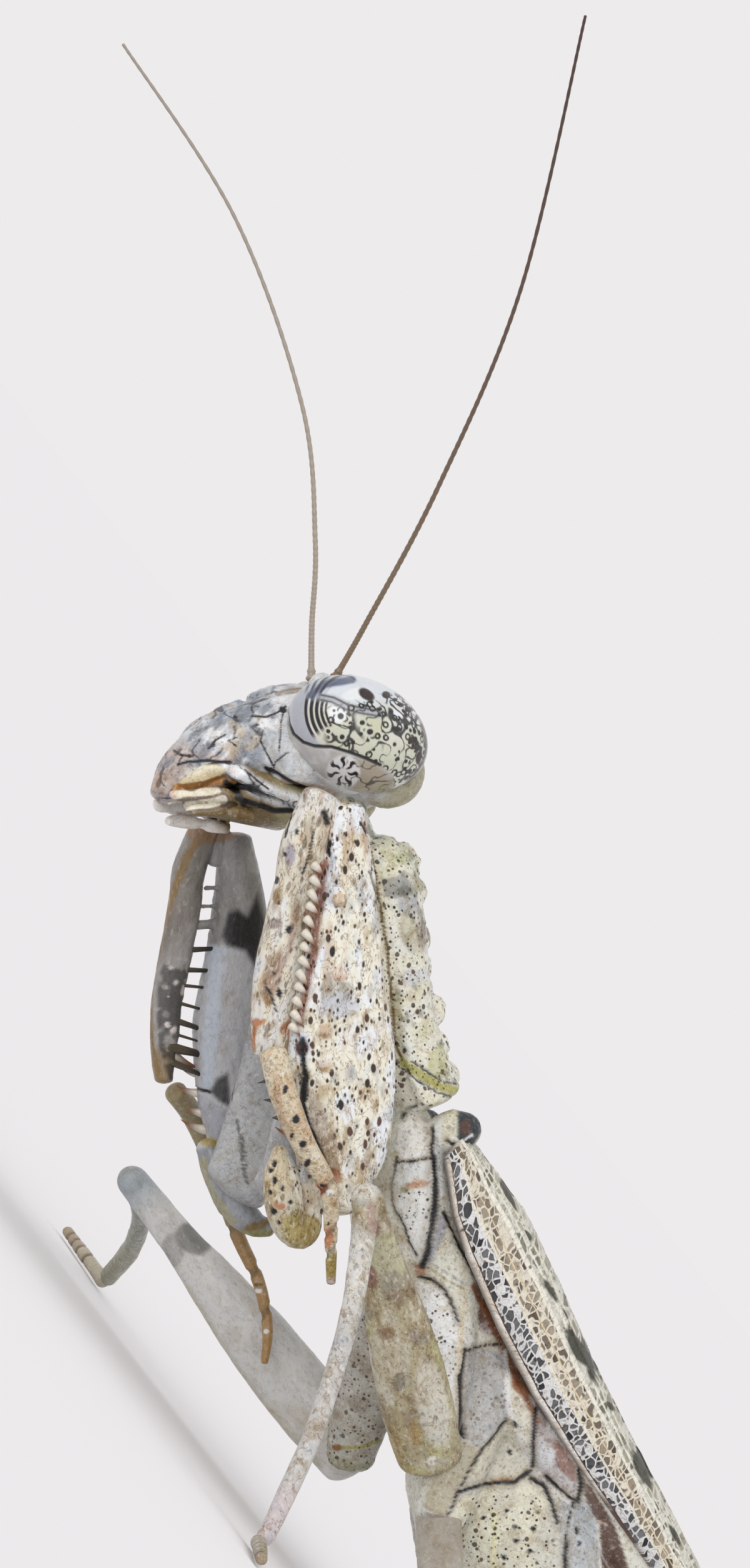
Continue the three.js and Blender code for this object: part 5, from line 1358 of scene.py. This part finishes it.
def edge_spikes(rows, count, start, stop, length, half, inset, slant, seed):
    """Horny spikes along a limb's upper edge, alternately long and short."""
    out = []
    for i in range(count):
        t = start + (stop - start) * i / (count - 1)
        row, before, after = smooth_rows(rows, np.array([t, max(t - 0.02, 0), min(t + 0.02, 1)]))
        run = np.array([after[0] - before[0], after[2] - before[2]])
        run = run / np.linalg.norm(run)
        outward = np.array([-run[1], run[0]])
        root = np.array([row[0] + outward[0] * row[4] * 0.8, row[1] + inset, row[2] + outward[1] * row[4] * 0.8])
        odd = lattice(np.array([[i, seed, 0]]), 5)[0]
        reach = (0.62 if i % 2 else 1.0) * length * (0.85 + 0.3 * odd) + row[4] * 0.2
        aim = unit(np.array([outward[0] + run[0] * slant, inset * 0.6, outward[1] + run[1] * slant]))
        lean_over = np.array([run[0], 0, run[1]]) * reach * -0.08
        out.append(spike(root, root + aim * reach, half, lean_over))
    return out


def tapering(path, halves, **settings):
    return tube([[*p, h, h, h] for p, h in zip(path, halves)], **settings)


def faced(rows, more):
    """Stations whose edge facing the other limb is moved out."""
    return [[*r[:4], r[4] + more, *r[5:]] for r in rows]


WARTS = ((543, 1439), (543, 1557), (520, 1649), (520, 1702))
# painted shadows: dark red-brown blots beneath the tibia's row of spines
SPINE_SHADOWS = [(514, 1394), (514, 1435), (502, 1480), (505, 1521), (495, 1548), (489, 1571), (486, 1596), (478, 1626)]
FORE_TIBIA_SPOTS = [
    ((443, 1476), 11, 10, 0, (0.26, 0.21, 0.20), 0.85), ((466, 1367), 8, 16, 0, (0.36, 0.32, 0.36), 0.85),
    ((427, 1598), 9, 9, 0, TAN, 0.85), ((443, 1435), 7, 14, 0, (0.40, 0.30, 0.20), 0.85),
    ((411, 1634), 9, 9, 0, RUST, 0.85), ((459, 1643), 12, 12, 0, RUST, 0.85),
    ((511, 1295), 12, 10, 0, (0.68, 0.66, 0.60), 0.85), ((497, 1458), 8, 12, 0, (0.44, 0.28, 0.2), 0.85),
]
LOBE_SPECKS = [
    ((439, 1858), 3, 5), ((433, 1869), 4, 4), ((440, 1885), 4, 6), ((453, 1898), 3, 5), ((467, 1920), 4, 4),
    ((438, 1936), 6, 6), ((432, 1904), 3, 4), ((446, 1953), 4, 4),
]
TARSUS_SPECKS = [
    ((457, 1739), 4, 7), ((474, 1786), 6, 7), ((485, 1826), 6, 6), ((493, 1856), 5, 8), ((497, 1879), 3, 4),
    ((502, 1895), 4, 3), ((508, 1956), 2, 2), ((526, 1954), 2, 3), ((468, 1812), 3, 5), ((516, 1893), 4, 3),
]
FORE_TIBIA_DOTS = [
    ((443, 1408), 5), ((462, 1486), 5), ((448, 1588), 5), ((457, 1367), 3), ((441, 1557), 3), ((447, 1444), 3),
    ((475, 1331), 4),
]

for side, sign in SIDES:
    near_one = sign < 0
    place, far_place = fore_pose(side, sign, True), fore_pose(side, sign, True, FORE_LENGTH[side])
    coat = fore_skin if near_one else far_skin
    femur_rows = posed_rows(faced(FORE_FEMUR, 0.0 if near_one else -0.22), far_place)
    tibia_rows = posed_rows(faced(FORE_TIBIA, 0.36 if near_one else -0.06), place)
    if near_one:
        base = under_marks([(448, 1839), (450, 1868), (453, 1899), (457, 1933), (465, 1962), (482, 1973), (496, 1959),
            (501, 1933)], -3.4)
        base = tapering(base, (0.2, 0.42, 0.5, 0.5, 0.42, 0.36, 0.3, 0.24), spacing=0.08, bulge=0.8)
    else:
        base = under_marks([(327, 1846), (342, 1878), (361, 1919), (383, 1953), (405, 1972), (424, 1977)], 2.5)
        base = tapering(base, (0.3, 0.42, 0.46, 0.42, 0.34, 0.26), spacing=0.08, bulge=0.8)
    parts = [tube(femur_rows, spacing=0.12), base]
    if not near_one:
        bars = (((349, 1322), (339, 1383), 0.24), ((323, 1424), (349, 1424), 0.075), ((314, 1454), (343, 1454), 0.06),
                ((305, 1485), (341, 1483), 0.13))
        parts += [tapering(under_marks((a, b), FEMUR_Y - 0.1), (half, half), spacing=0.06) for a, b, half in bars]
    if near_one:
        for centre in under_marks(WARTS, -(FEMUR_Y + 0.52)):
            parts.append(ball(centre, (0.22, 0.16, 0.22), 0, 0.08))
    femur = fused(parts, FINE * 0.85, 2)
    along_limb = squeezed(femur.points, (3, 0, 6), (-4.3, 0, 12.75), 0.55)
    at = wandering(on_sheet(seen(lean(femur.points))), femur.points, 0.4, 71, 1.6)
    cloud = layered(along_limb, 0.45, 60)
    streak = layered(squeezed(femur.points, (3, 0, 6), (-4.3, 0, 12.75), 0.15), 0.3, 61)
    if near_one:
        tint = laid((0.76, 0.74, 0.63),
            (step(0.0, 0.35, cloud), (0.74, 0.77, 0.8)),
            (step(-0.15, -0.5, cloud) * 0.6, (0.56, 0.5, 0.4)),
            (step(0.15, 0.45, layered(along_limb, 0.3, 62)) * 0.6, (0.33, 0.32, 0.31)),
            (blot(at, (533, 1585), 26, 22, 0, cloud) * 0.8, (0.29, 0.27, 0.23)),
            (step(0.1, 0.4, streak) * step(1650, 1450, at[:, 1]) * 0.7, (0.58, 0.43, 0.31)),
            (step(-0.15, -0.4, streak) * step(1700, 1500, at[:, 1]) * 0.6, (0.82, 0.81, 0.74)),
            (step(0.2, 0.5, streak) * 0.4, TAN),
            # painted shadow: a dark red-brown band beneath the row of tibia spines
            (stroke(at, [(520, 1381), (516, 1435), (505, 1480), (504, 1526), (495, 1553), (488, 1594), (480, 1634)],
                6) * 0.85, (0.27, 0.1, 0.06)),
            (blot(at, (543, 1607), 34, 20, 0, cloud * 0.5) * 0.7, (0.5, 0.53, 0.6)),
            (blot(at, (529, 1412), 14, 40, 0, cloud * 0.5) * 0.6, (0.5, 0.52, 0.56)))
        shade = inside(at, [(492, 1735), (509, 1749), (533, 1812), (545, 1875), (531, 1895), (519, 1865),
            (497, 1800)])
        tint = laid(tint,
            (shade * 0.8, (0.4, 0.33, 0.26)),
            (blot(at, (535, 1880), 12, 14, 0, cloud * 0.4) * 0.9, (0.36, 0.16, 0.07)))
        lobe = inside(at, [(434, 1827), (410, 1865), (410, 2011), (512, 2011), (512, 1948), (485, 1938), (465, 1875),
            (458, 1827)])
        tint = laid(tint,
            (lobe, (0.55, 0.48, 0.33)),
            (lobe * step(0.0, 0.4, cloud) * 0.7, (0.56, 0.53, 0.43)),
            (lobe * blot(at, (480, 1965), 36, 34, 30, cloud * 0.3) * 0.85, (0.36, 0.28, 0.08)),
            (blot(at, (450, 1926), 12, 7, 20, cloud * 0.5) * lobe * 0.8, RUST))
        ink = stroke(at, [(592, 1394), (608, 1449), (615, 1503), (625, 1571), (633, 1675)], 1.8) * 0.7
        # the first two of these lines are painted shadow in the gap between the tarsus and the femur
        ink = np.maximum(ink, lines(at, [([(484, 1662), (485, 1693), (490, 1720), (487, 1757)], 4.5),
            ([(485, 1720), (482, 1756), (497, 1805), (512, 1836), (524, 1875)], 4),
            ([(518, 1304), (524, 1317), (522, 1340), (527, 1367)], 3.5), ([(579, 1317), (592, 1340)], 2.2)]))
        # painted light and shade: each wart is paler over its upper half and darker over its lower half
        for mark, light, low in zip(WARTS, (GOLD, PINK, GOLD, (0.74, 0.73, 0.70)), (TAN, PINK, TAN, GOLD)):
            own = blot(at, mark, 13, 12, 0)
            tint = laid(tint,
                (own * 0.9, (0.62, 0.52, 0.42)),
                (own * step(-2, 8, at[:, 1] - mark[1]) * 0.7, low),
                (own * step(0, -8, at[:, 1] - mark[1]) * 0.4, light))
        tint = laid(tint, (blot(at, (484, 1676), 13, 15, 0, cloud * 0.3), (0.06, 0.012, 0.015)))
        ink = np.maximum(ink, lobe * specks(at, LOBE_SPECKS, cloud * 0.3))
        dotty = 1 - specks(at, [(m, 13, 12) for m in WARTS]) - 0.8 * shade - 0.5 * lobe
    else:
        # the far femur's dark grey-brown upper part is painted shade; lower down it turns paler grey
        tint = laid((0.27, 0.265, 0.26),
            (step(0.1, 0.5, cloud) * 0.6, (0.36, 0.36, 0.36)),
            (step(0.0, 0.4, streak) * 0.6, (0.17, 0.165, 0.16)),
            (step(0.0, -0.5, streak) * 0.4, (0.42, 0.41, 0.4)),
            (blot(at, (411, 1374), 20, 34, 20, cloud * 0.4) * 0.9, (0.46, 0.46, 0.46)),
            (blot(at, (339, 1331), 45, 20, 0) * 0.9, (0.25, 0.16, 0.1)))
        lower = step(0, 12, at[:, 1] - 1510)
        tint = laid(tint,
            (lower, (0.42, 0.425, 0.44)),
            (lower * inside(at, [(327, 1519), (359, 1519), (349, 1639), (335, 1748), (316, 1757), (323, 1594)], 6),
                (0.42, 0.46, 0.52)),
            (inside(at, [(281, 1759), (320, 1761), (361, 1788), (376, 1836), (376, 1858), (352, 1846), (320, 1836),
                (298, 1812)]), (0.36, 0.37, 0.41)),
            (stroke(at, [(299, 1818), (313, 1827), (325, 1836), (352, 1844), (376, 1856)], 7) * 0.9,
                (0.36, 0.28, 0.07)),
            # painted highlight: a pale pinkish glint on the lilac-grey lobe
            (blot(at, (295, 1770), 8, 9), (0.66, 0.6, 0.58)))
        ellipse = inside(at, [(308, 1851), (332, 1841), (354, 1856), (385, 1875), (458, 1938), (458, 2011),
            (376, 1999), (337, 1938), (310, 1895)])
        tint = laid(tint,
            (ellipse, (0.33, 0.35, 0.38)),
            (ellipse * step(0.0, 0.4, streak) * 0.7, (0.22, 0.23, 0.26)),
            (stroke(at, [(320, 1870), (325, 1904), (342, 1933), (366, 1965)], 8) * 0.8, (0.36, 0.34, 0.2)),
            (step(0, 10, at[:, 1] - 1974), (0.26, 0.24, 0.11)),
            (stroke(at, [(395, 1977), (415, 1972), (432, 1958)], 6) * 0.9, (0.2, 0.13, 0.04)))
        ink = inside(at, [(349, 1503), (361, 1467), (379, 1460), (393, 1471), (408, 1433), (423, 1480), (406, 1555),
            (389, 1526), (361, 1519)], 6) * 0.95
        ink = np.maximum(ink, inside(at, [(344, 1735), (361, 1726), (367, 1782), (347, 1772), (330, 1756)], 5) * 0.9)
        ink = np.maximum(ink, lines(at, [([(366, 1870), (376, 1885), (378, 1899)], 2.5),
            ([(395, 1899), (400, 1912)], 4), ([(407, 1899), (412, 1909)], 3), ([(356, 1856), (368, 1875)], 1.6),
            ([(330, 1756), (313, 1752), (288, 1749)], 2.5)]))
        dotty = ellipse * 0.6 + 0.1
    femur.facts = {"tint": tint, "ink": ink, "dotty": np.clip(dotty, 0, 1), "cloth": along_limb}
    grain_distance, ident = grains(femur.points, 0.3, 6)
    granule = step(0.14, 0.03, grain_distance) * step(0.4, 0.8, ident)
    femur.push(layered(femur.points, 0.7, 2) * 0.03 + granule * 0.02 - 0.05 * ink)
    femur.move(lean)
    add(f"fore_femur_{side}_skin", femur, coat, [f"fore_femur_{side}"])

    tibia = fused([tube(tibia_rows, spacing=0.1)], FINE * 0.85, 1)
    along_limb = squeezed(tibia.points, (-5, 0, 12.45), (-1, 0, 7.15), 0.45)
    at = wandering(on_sheet(seen(lean(tibia.points))), tibia.points, 0.4, 73, 1.6)
    cloud = layered(along_limb, 0.4, 80)
    streak = layered(squeezed(tibia.points, (-5, 0, 12.45), (-1, 0, 7.15), 0.15), 0.28, 81)
    if near_one:
        tint = laid((0.66, 0.62, 0.51),
            (step(0.0, 0.35, cloud) * 0.8, (0.64, 0.65, 0.66)),
            (step(0.0, -0.35, cloud) * 0.6, (0.33, 0.29, 0.24)),
            (step(0.05, 0.35, streak) * 0.75, (0.33, 0.21, 0.15)),
            (step(-0.1, -0.5, streak) * 0.5, (0.7, 0.66, 0.54)),
            *blots(at, FORE_TIBIA_SPOTS, cloud * 0.6),
            (stroke(at, [(423, 1632), (411, 1641), (406, 1657), (408, 1677)], 3.5), (0.42, 0.18, 0.07)))
        ink = lines(at, [([(503, 1331), (495, 1367), (485, 1397)], 1.6), ([(520, 1301), (524, 1315)], 5),
            ([(425, 1573), (434, 1589), (443, 1616)], 1.6), ([(466, 1304), (457, 1340)], 1.2),
            ([(452, 1304), (447, 1322)], 3)])
        ink = np.maximum(ink, specks(at, [(mark, radius, radius * 1.4) for mark, radius in FORE_TIBIA_DOTS],
            cloud * 0.3))
        dotty = np.full(len(at), 0.6)
    else:
        tint = laid((0.24, 0.22, 0.2),
            (step(0.0, 0.5, cloud) * 0.7, (0.34, 0.33, 0.33)),
            (step(0.0, 0.4, streak) * 0.6, (0.14, 0.12, 0.1)),
            (step(1500, 1560, at[:, 1]) * 0.5, (0.4, 0.4, 0.4)))
        rim = to_line(at, [(325, 1322), (298, 1367), (273, 1426), (250, 1494), (235, 1571), (231, 1630), (234, 1684),
            (257, 1750), (271, 1775)])
        tint = laid(tint,
            (step(9, 4, rim), (0.24, 0.16, 0.07)),
            (blot(at, (334, 1331), 45, 22), (0.26, 0.165, 0.1)),
            (step(1670, 1700, at[:, 1]) * 0.7, (0.26, 0.18, 0.08)))
        inner = step(11, 17, rim) * step(1530, 1560, at[:, 1])
        near, ident = grains(tibia.points * (1, 0.4, 1), 0.3, 41)
        ink = inner * 0.7 * step(-0.35, -0.1, layered(tibia.points, 0.3, 42))
        pale = inner * step(0.11, 0.07, near) * step(0.35, 0.45, ident)
        tint = laid(tint, (pale, (0.66, 0.6, 0.58)))
        ink = ink * (1 - pale)
        dotty = np.full(len(at), 0.1)
    if near_one:
        # painted shadows beneath the tibia's spines
        tint = laid(tint, *[(blot(at, mark, 9, 13, -20, cloud * 0.3) * 0.9, (0.24, 0.055, 0.03)) for mark in SPINE_SHADOWS])
    tibia.facts = {"tint": tint, "ink": ink, "dotty": dotty, "cloth": along_limb}
    tibia.push(layered(tibia.points, 0.5, 2) * 0.03 - 0.02 * ink)
    tibia.move(lean)
    add(f"fore_tibia_{side}_skin", tibia, coat, [f"fore_tibia_{side}"])

    path = np.array(FORE_TARSUS[side]) * np.array([1, sign, 1])
    tarsus = fused([tapering(path, TARSUS_HALVES[side], spacing=0.06)], FINE * 0.6, 1)
    at = wandering(on_sheet(seen(lean(tarsus.points))), tarsus.points, 0.4, 73, 1.2)
    cloud = layered(tarsus.points, 0.35, 74)
    run = np.clip((tarsus.points[:, 0] - path[0, 0]) / (path[-1, 0] - path[0, 0]), 0, 1)
    if near_one:
        tint = laid((0.6, 0.51, 0.36),
            (step(0.0, 0.5, cloud) * 0.7, (0.66, 0.62, 0.5)),
            (step(0.0, -0.5, cloud) * 0.6, (0.48, 0.31, 0.18)),
            (stroke(at, [(445, 1720), (446, 1754), (453, 1793)], 5) * 0.6, (0.42, 0.27, 0.16)),
            (stroke(at, [(490, 1907), (504, 1908), (516, 1897)], 9), (0.34, 0.1, 0.03)),
            (blot(at, (510, 1936), 14, 20), (0.68, 0.63, 0.5)),
            (blot(at, (520, 1977), 14, 16), (0.52, 0.22, 0.1)),
            (step(1998, 2006, at[:, 1]), (0.34, 0.26, 0.07)),
            (step(2036, 2046, at[:, 1]), (0.48, 0.4, 0.36)))
        ink = specks(at, TARSUS_SPECKS, cloud * 0.3, 20)
        # painted highlight: a white glint beside the red-brown joint
        tint = laid(tint, (blot(at, (528, 1903), 6, 5), (0.8, 0.8, 0.8)))
        joints = sum(step(0.02, 0.006, np.abs(run - j)) for j in (0.62, 0.8, 0.88))
    else:
        tint = laid((0.33, 0.2, 0.08),
            (step(0.62, 0.5, run), (0.3, 0.25, 0.14)),
            (step(0.0, 0.5, cloud) * 0.5, (0.42, 0.3, 0.16)),
            (blot(at, (410, 2083), 7, 4) + blot(at, (422, 2148), 5, 4), (0.66, 0.63, 0.6)))
        ink = blot(at, (409, 2073), 8, 3) * 0.6
        joints = sum(step(0.02, 0.006, np.abs(run - j)) for j in (0.56, 0.72, 0.86))
    tarsus.facts = {"tint": tint, "ink": np.clip(ink + joints * 0.4, 0, 1), "dotty": np.full(len(at), 0.35)}
    tarsus.push(-0.04 * joints)
    tarsus.move(lean)
    add(f"fore_tarsus_{side}_skin", tarsus, coat, [f"fore_tarsus_{side}"])

    root, tip = place(np.array([[-1.75, FEMUR_Y, 7.7], [-0.55, FEMUR_Y, 8.05]]))
    claw = spike(root, tip, 0.26, (0, 0, -0.12))
    if near_one:
        starts = np.linspace((502, 1383), (466, 1639), 13)
        pairs = [(p, p + (15 + 3 * (i % 2), 17 + 4 * (i % 3))) for i, p in enumerate(starts)]
        rowed = spikes_at(pairs, -(FEMUR_Y + 0.38), 0.12, (0, -0.05, 0), -0.12)
        bristles = spikes_at((((438, 1723), (412, 1730)), ((441, 1758), (422, 1756)), ((447, 1785), (436, 1785))),
            -4.0, 0.07)
        bristles += spikes_at((((485, 1720), (479, 1713)), ((479, 1793), (485, 1782))), -4.4, 0.05)
        horns, thorns = merge(claw, *rowed), merge(*bristles)
    else:
        bars = (
            ((270, 1526), (337, 1523), 0.10), ((265, 1556), (335, 1559), 0.09), ((263, 1580), (339, 1588), 0.06),
            ((260, 1605), (332, 1626), 0.06), ((259, 1634), (326, 1657), 0.10), ((260, 1657), (323, 1677), 0.05),
            ((263, 1682), (321, 1696), 0.15), ((268, 1707), (321, 1730), 0.10))
        rowed = [tapering(under_marks((a, b), FEMUR_Y - 0.2), (half, half * 0.55), spacing=0.06)
            for a, b, half in bars]
        horns, thorns = claw, merge(*rowed)
    horns = merge(horns, *edge_spikes(femur_rows, 4, 0.16, 0.34, 0.6, 0.14, 0.15 * sign, 0.3, 2))
    horns.move(lean)
    thorns.move(lean)
    add(f"fore_spines_{side}", horns, pale_horn, None)
    add(f"fore_thorns_{side}", thorns, dark_horn, None)


# ------------------------------------------------------------- walking legs

FEMUR_HALVES = {"mid": [0.84, 0.95, 0.9, 0.72, 0.5, 0.42], "hind": [0.62, 0.6, 0.56, 0.5, 0.45, 0.42]}
TIBIA_BOW = {"mid": (0.3, 0, 0.4), "hind": (0, 0, 0)}
MID_FEMUR_SPOTS_AND_SHADOW = [
    ((594, 1930), 8, 22, 0, (0.30, 0.16, 0.12), 0.7), ((599, 1958), 9, 16, 0, (0.26, 0.10, 0.06), 0.8),
    ((593, 2034), 13, 20, 0, (0.24, 0.11, 0.08), 0.85), ((626, 2041), 22, 18, 0, (0.30, 0.26, 0.20), 0.7),
    # the grey-tan blot at (626, 2041) is a painted shadow
    ((594, 1927), 12, 50, 0, (0.44, 0.38, 0.35), 0.3), ((618, 2128), 17, 15, 20, (0.27, 0.17, 0.10), 0.75),
    ((669, 2136), 17, 11, 10, (0.30, 0.26, 0.22), 0.7), ((638, 2207), 13, 20, 10, (0.17, 0.14, 0.10), 0.7),
    ((658, 2263), 16, 13, 0, (0.28, 0.22, 0.14), 0.6), ((665, 2294), 11, 22, 0, (0.38, 0.26, 0.08), 0.6),
    ((588, 2097), 8, 12, 0, (0.24, 0.20, 0.15), 0.6), ((693, 2340), 11, 9, 0, (0.78, 0.76, 0.70), 0.9),
    ((665, 2358), 26, 9, 10, (0.42, 0.38, 0.15), 0.7),
]

for name, (root, trochanter, knee, heel, toe) in WALKING_LEGS.items():
    pair, side = name.split("_")
    near_one = side == "left"
    coat = leg_skin if near_one and pair == "mid" else grey_skin
    parts = [tube(limb_rows(trochanter, knee, FEMUR_HALVES[pair], 0.62), (0.4, 1, 0), 0.12, 1.0),
        tube(limb_rows(knee, heel, [0.34, 0.28, 0.26, 0.26, 0.24], 1.0, TIBIA_BOW[pair]), spacing=0.08, bulge=1.0),
        ball(knee, (0.42, 0.38, 0.42), 0, 0.1)]
    leg = fused(parts, FINE, 2)
    a, b, c = (np.array(v, float) for v in (trochanter, knee, heel))
    share = ((leg.points - a) @ (b - a)) / ((b - a) @ (b - a))
    shin = ((leg.points - b) @ (c - b)) / ((c - b) @ (c - b))
    off = np.linalg.norm(leg.points - a - share[:, None] * (b - a), axis=1)
    thick = np.interp(share, np.linspace(0, 1, 6), FEMUR_HALVES[pair])
    on_shin = np.maximum(step(0.05, 0.15, shin) * step(thick + 0.02, thick + 0.15, off), step(1.0, 1.06, share))
    along_limb = squeezed(leg.points, a, b, 0.6)
    at = wandering(on_sheet(seen(leg.points)), leg.points, 0.7, 71, 2.5)
    cloud, broad = layered(along_limb, 0.6, 90), layered(along_limb, 1.4, 91)
    if name == "mid_left":
        tint = laid((0.41, 0.36, 0.23),
            (step(0.05, 0.45, cloud) * 0.8, (0.54, 0.5, 0.38)),
            (step(0.0, -0.35, cloud) * 0.8, (0.24, 0.18, 0.11)),
            (step(0.1, 0.5, broad) * 0.4, GREEN),
            (step(0.15, 0.4, layered(along_limb, 0.4, 95)) * 0.6, (0.62, 0.6, 0.5)),
            (step(2240, 2330, at[:, 1]) * step(660, 630, at[:, 0]) * 0.8, (0.42, 0.32, 0.11)),
            (blot(at, (693, 2247), 26, 75, -12, cloud * 0.4) * 0.8, (0.62, 0.6, 0.52)),
            (blot(at, (614, 2006), 36, 46, 0, cloud * 0.3) * 0.7, (0.46, 0.46, 0.3)),
            *blots(at, MID_FEMUR_SPOTS_AND_SHADOW, cloud * 0.4),
            (on_shin, (0.5, 0.49, 0.46)),
            (on_shin * step(0.0, 0.4, layered(leg.points, 0.3, 93)) * 0.7, (0.34, 0.32, 0.27)),
            (on_shin * step(2110, 2040, at[:, 1]) * 0.7, (0.66, 0.65, 0.6)),
            (on_shin * step(2110, 2150, at[:, 1]) * 0.9, (0.52, 0.51, 0.49)),
            (on_shin * step(2330, 2390, at[:, 1]) * 0.8, (0.56, 0.49, 0.49)))
        dotty = 0.7 * np.maximum((1 - on_shin) * step(1960, 2080, at[:, 1]), on_shin * step(0.6, 0.4, shin))
    elif name == "mid_right":
        tint = laid((0.57, 0.57, 0.56),
            (step(0.0, 0.4, cloud) * 0.5, (0.42, 0.4, 0.38)),
            (step(0.86, 1.0, share), (0.34, 0.38, 0.41)),
            (blot(at, (302, 2000), 32, 24, 20, cloud * 0.3) * 0.85, (0.15, 0.15, 0.14)),
            (blot(at, (266, 2021), 20, 36, 20, cloud * 0.3) * 0.5, (0.22, 0.21, 0.2)),
            (stroke(at, [(290, 2085), (321, 2140), (353, 2191), (401, 2259), (456, 2326), (503, 2369)], 9) * 0.6,
                (0.46, 0.43, 0.32)),
            (blot(at, (476, 2310), 60, 34, 30, cloud * 0.4) * 0.35, (0.47, 0.43, 0.34)),
            (on_shin, (0.22, 0.235, 0.21)),
            (on_shin * step(0.3, 0.8, shin) * 0.6, (0.3, 0.29, 0.19)))
        dotty = np.full(len(at), 0.45)
    else:
        tint = laid((0.36, 0.33, 0.28),
            (step(0.1, 0.5, cloud) * 0.5, (0.42, 0.39, 0.33)),
            (step(0.0, -0.4, cloud) * 0.4, (0.28, 0.24, 0.17)),
            (step(0.85, 1.0, share) * 0.5, (0.3, 0.28, 0.2)))
        dotty = np.full(len(at), 0.35)
    leg.facts = {"tint": tint, "ink": np.zeros(len(at)), "dotty": dotty, "cloth": along_limb}
    leg.push(layered(leg.points, 0.7, 4) * 0.03)
    add(f"{name}_leg_skin", leg, coat, [f"{pair}_femur_{side}", f"{pair}_tibia_{side}"])

    heel_point = np.array([heel[0], heel[1], 0.28])
    toe_point = np.array(toe, float) + np.array([0, 0, 0.02])
    path = heel_point + (toe_point - heel_point) * np.linspace(0, 0.92, 5)[:, None]
    foot = fused([tapering(path, (0.22, 0.19, 0.19, 0.17, 0.15), side=(1, 0, 0), spacing=0.06)], FINE * 0.8, 1)
    length = toe_point - heel_point
    run = ((foot.points - heel_point) @ length) / (length @ length)
    joints = sum(step(0.03, 0.01, np.abs(run - j)) for j in (0.38, 0.55, 0.68, 0.8))
    tint = laid((0.38, 0.34, 0.26),
        (step(0.5, 0.9, run) * 0.6, (0.3, 0.22, 0.13)),
        (joints * 0.7, BROWN))
    foot.facts = {"tint": tint, "dotty": np.full(len(run), 0.4)}
    foot.push(-0.03 * joints)
    foot.points[:, 2] = np.maximum(foot.points[:, 2], 0.004)
    add(f"{name}_foot", foot, coat, [f"{pair}_tarsus_{side}"])


# ----------------------------------------------------------------- antennae

ANTENNAE = {
    "left": [[-6.62, 1.2, 15.0], [-7.3, 1.1, 16.6], [-9.25, -0.2, 20.3], [-12.4, -2.4, 25.0], [-17.3, -5.0, 30.3]],
    "right": [[-6.75, 2.45, 14.65], [-7.8, 2.95, 15.55], [-9.45, 3.4, 17.0], [-12.3, 4.4, 18.9], [-17.0, 6.2, 20.55],
              [-22.1, 7.95, 21.05]],
}

FEELER_TOP = 30.42
RING_SPACING = 0.22

for side, path in ANTENNAE.items():
    stem = tapering(path, np.linspace(0.075, 0.035, len(path)), spacing=0.03, bulge=0.8)
    run = stem.facts["horn"]
    stem.facts = {"horn": 0.2 + 0.6 * run}
    length = sum(math.dist(p, q) for p, q in zip(path, path[1:]))
    ringed = np.abs(np.sin(run * math.pi * length / RING_SPACING))
    first = 1.1 if side == "left" else 0.35
    bulb = np.exp(-((run * length - first) / 0.28) ** 2) + 0.5 * np.exp(-((run * length - first - 0.6) / 0.2) ** 2)
    stem.push(0.014 * ringed * (1 - 0.5 * run) + 0.07 * bulb)
    stem.points[:, 2] = np.minimum(stem.points[:, 2], FEELER_TOP)
    add(f"antenna_{side}_stem", stem, feeler_horn if side == "left" else faint_horn, [f"antenna_{side}"])


# ---------------------------------------------------- camera, light and floor

c, s = math.cos(VIEW_TURN), math.sin(VIEW_TURN)
right, up, back = Vector((ALONG * c, -ALONG * s, CLIMB)), Vector((-CLIMB * c, CLIMB * s, ALONG)), Vector((-s, -c, 0))
AWAY = 0.27                             # metres from the aim
TALL = 0.04016                          # metres seen from top to bottom there
aim = Vector((-4.41 - MIDDLE[0], -1.5 - MIDDLE[1], 14.31)) * MM
camera.location = aim + back * AWAY
camera.rotation_euler = Matrix((right, up, back)).transposed().to_euler()
camera.data.lens = camera.data.sensor_width * AWAY / TALL
camera.data.clip_start = 0.01

world = bpy.data.worlds.new("studio")
world.use_nodes = True
world.node_tree.nodes["Background"].inputs[0].default_value = (0.847, 0.831, 0.839, 1)
world.node_tree.nodes["Background"].inputs[1].default_value = 1.0
bpy.context.scene.world = world
bpy.context.scene.view_settings.view_transform = "Standard"


def sun(name, towards, strength, spread, colour=(1, 1, 1)):
    lamp = bpy.data.lights.new(name, "SUN")
    lamp.energy = strength
    lamp.angle = math.radians(spread)
    lamp.color = colour
    obj = bpy.data.objects.new(name, lamp)
    obj.rotation_euler = towards.to_track_quat("Z", "Y").to_euler()
    bpy.context.scene.collection.objects.link(obj)


sun("key", (up * 0.55 - right * 0.2 + back * 0.85).normalized(), 1.35, 50, (1.0, 0.98, 0.96))
sun("fill", (right * 0.8 + up * 0.1 + back * 0.6).normalized(), 0.4, 90, (0.96, 0.98, 1.0))

disc = bpy.data.meshes.new("floor")
FLOOR_RADIUS, FLOOR_CORNERS = 3, 96     # metres
turns = [2 * math.pi * k / FLOOR_CORNERS for k in range(FLOOR_CORNERS)]
rim = [(FLOOR_RADIUS * math.cos(a), FLOOR_RADIUS * math.sin(a), 0) for a in turns]
disc.from_pydata(rim, [], [list(range(FLOOR_CORNERS))])
floor = bpy.data.objects.new("floor", disc)
bpy.context.scene.collection.objects.link(floor)
s = Shade("paper")
grain = s.noise(s.place(1.0), 800.0, 2.0)
s.finish(s.mix(grain, (0.825, 0.815, 0.825), (0.835, 0.825, 0.835)), 0.9, s.bump(grain, 0.002), specular=0.0)
disc.materials.append(s.material)
floor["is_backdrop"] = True

low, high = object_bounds()
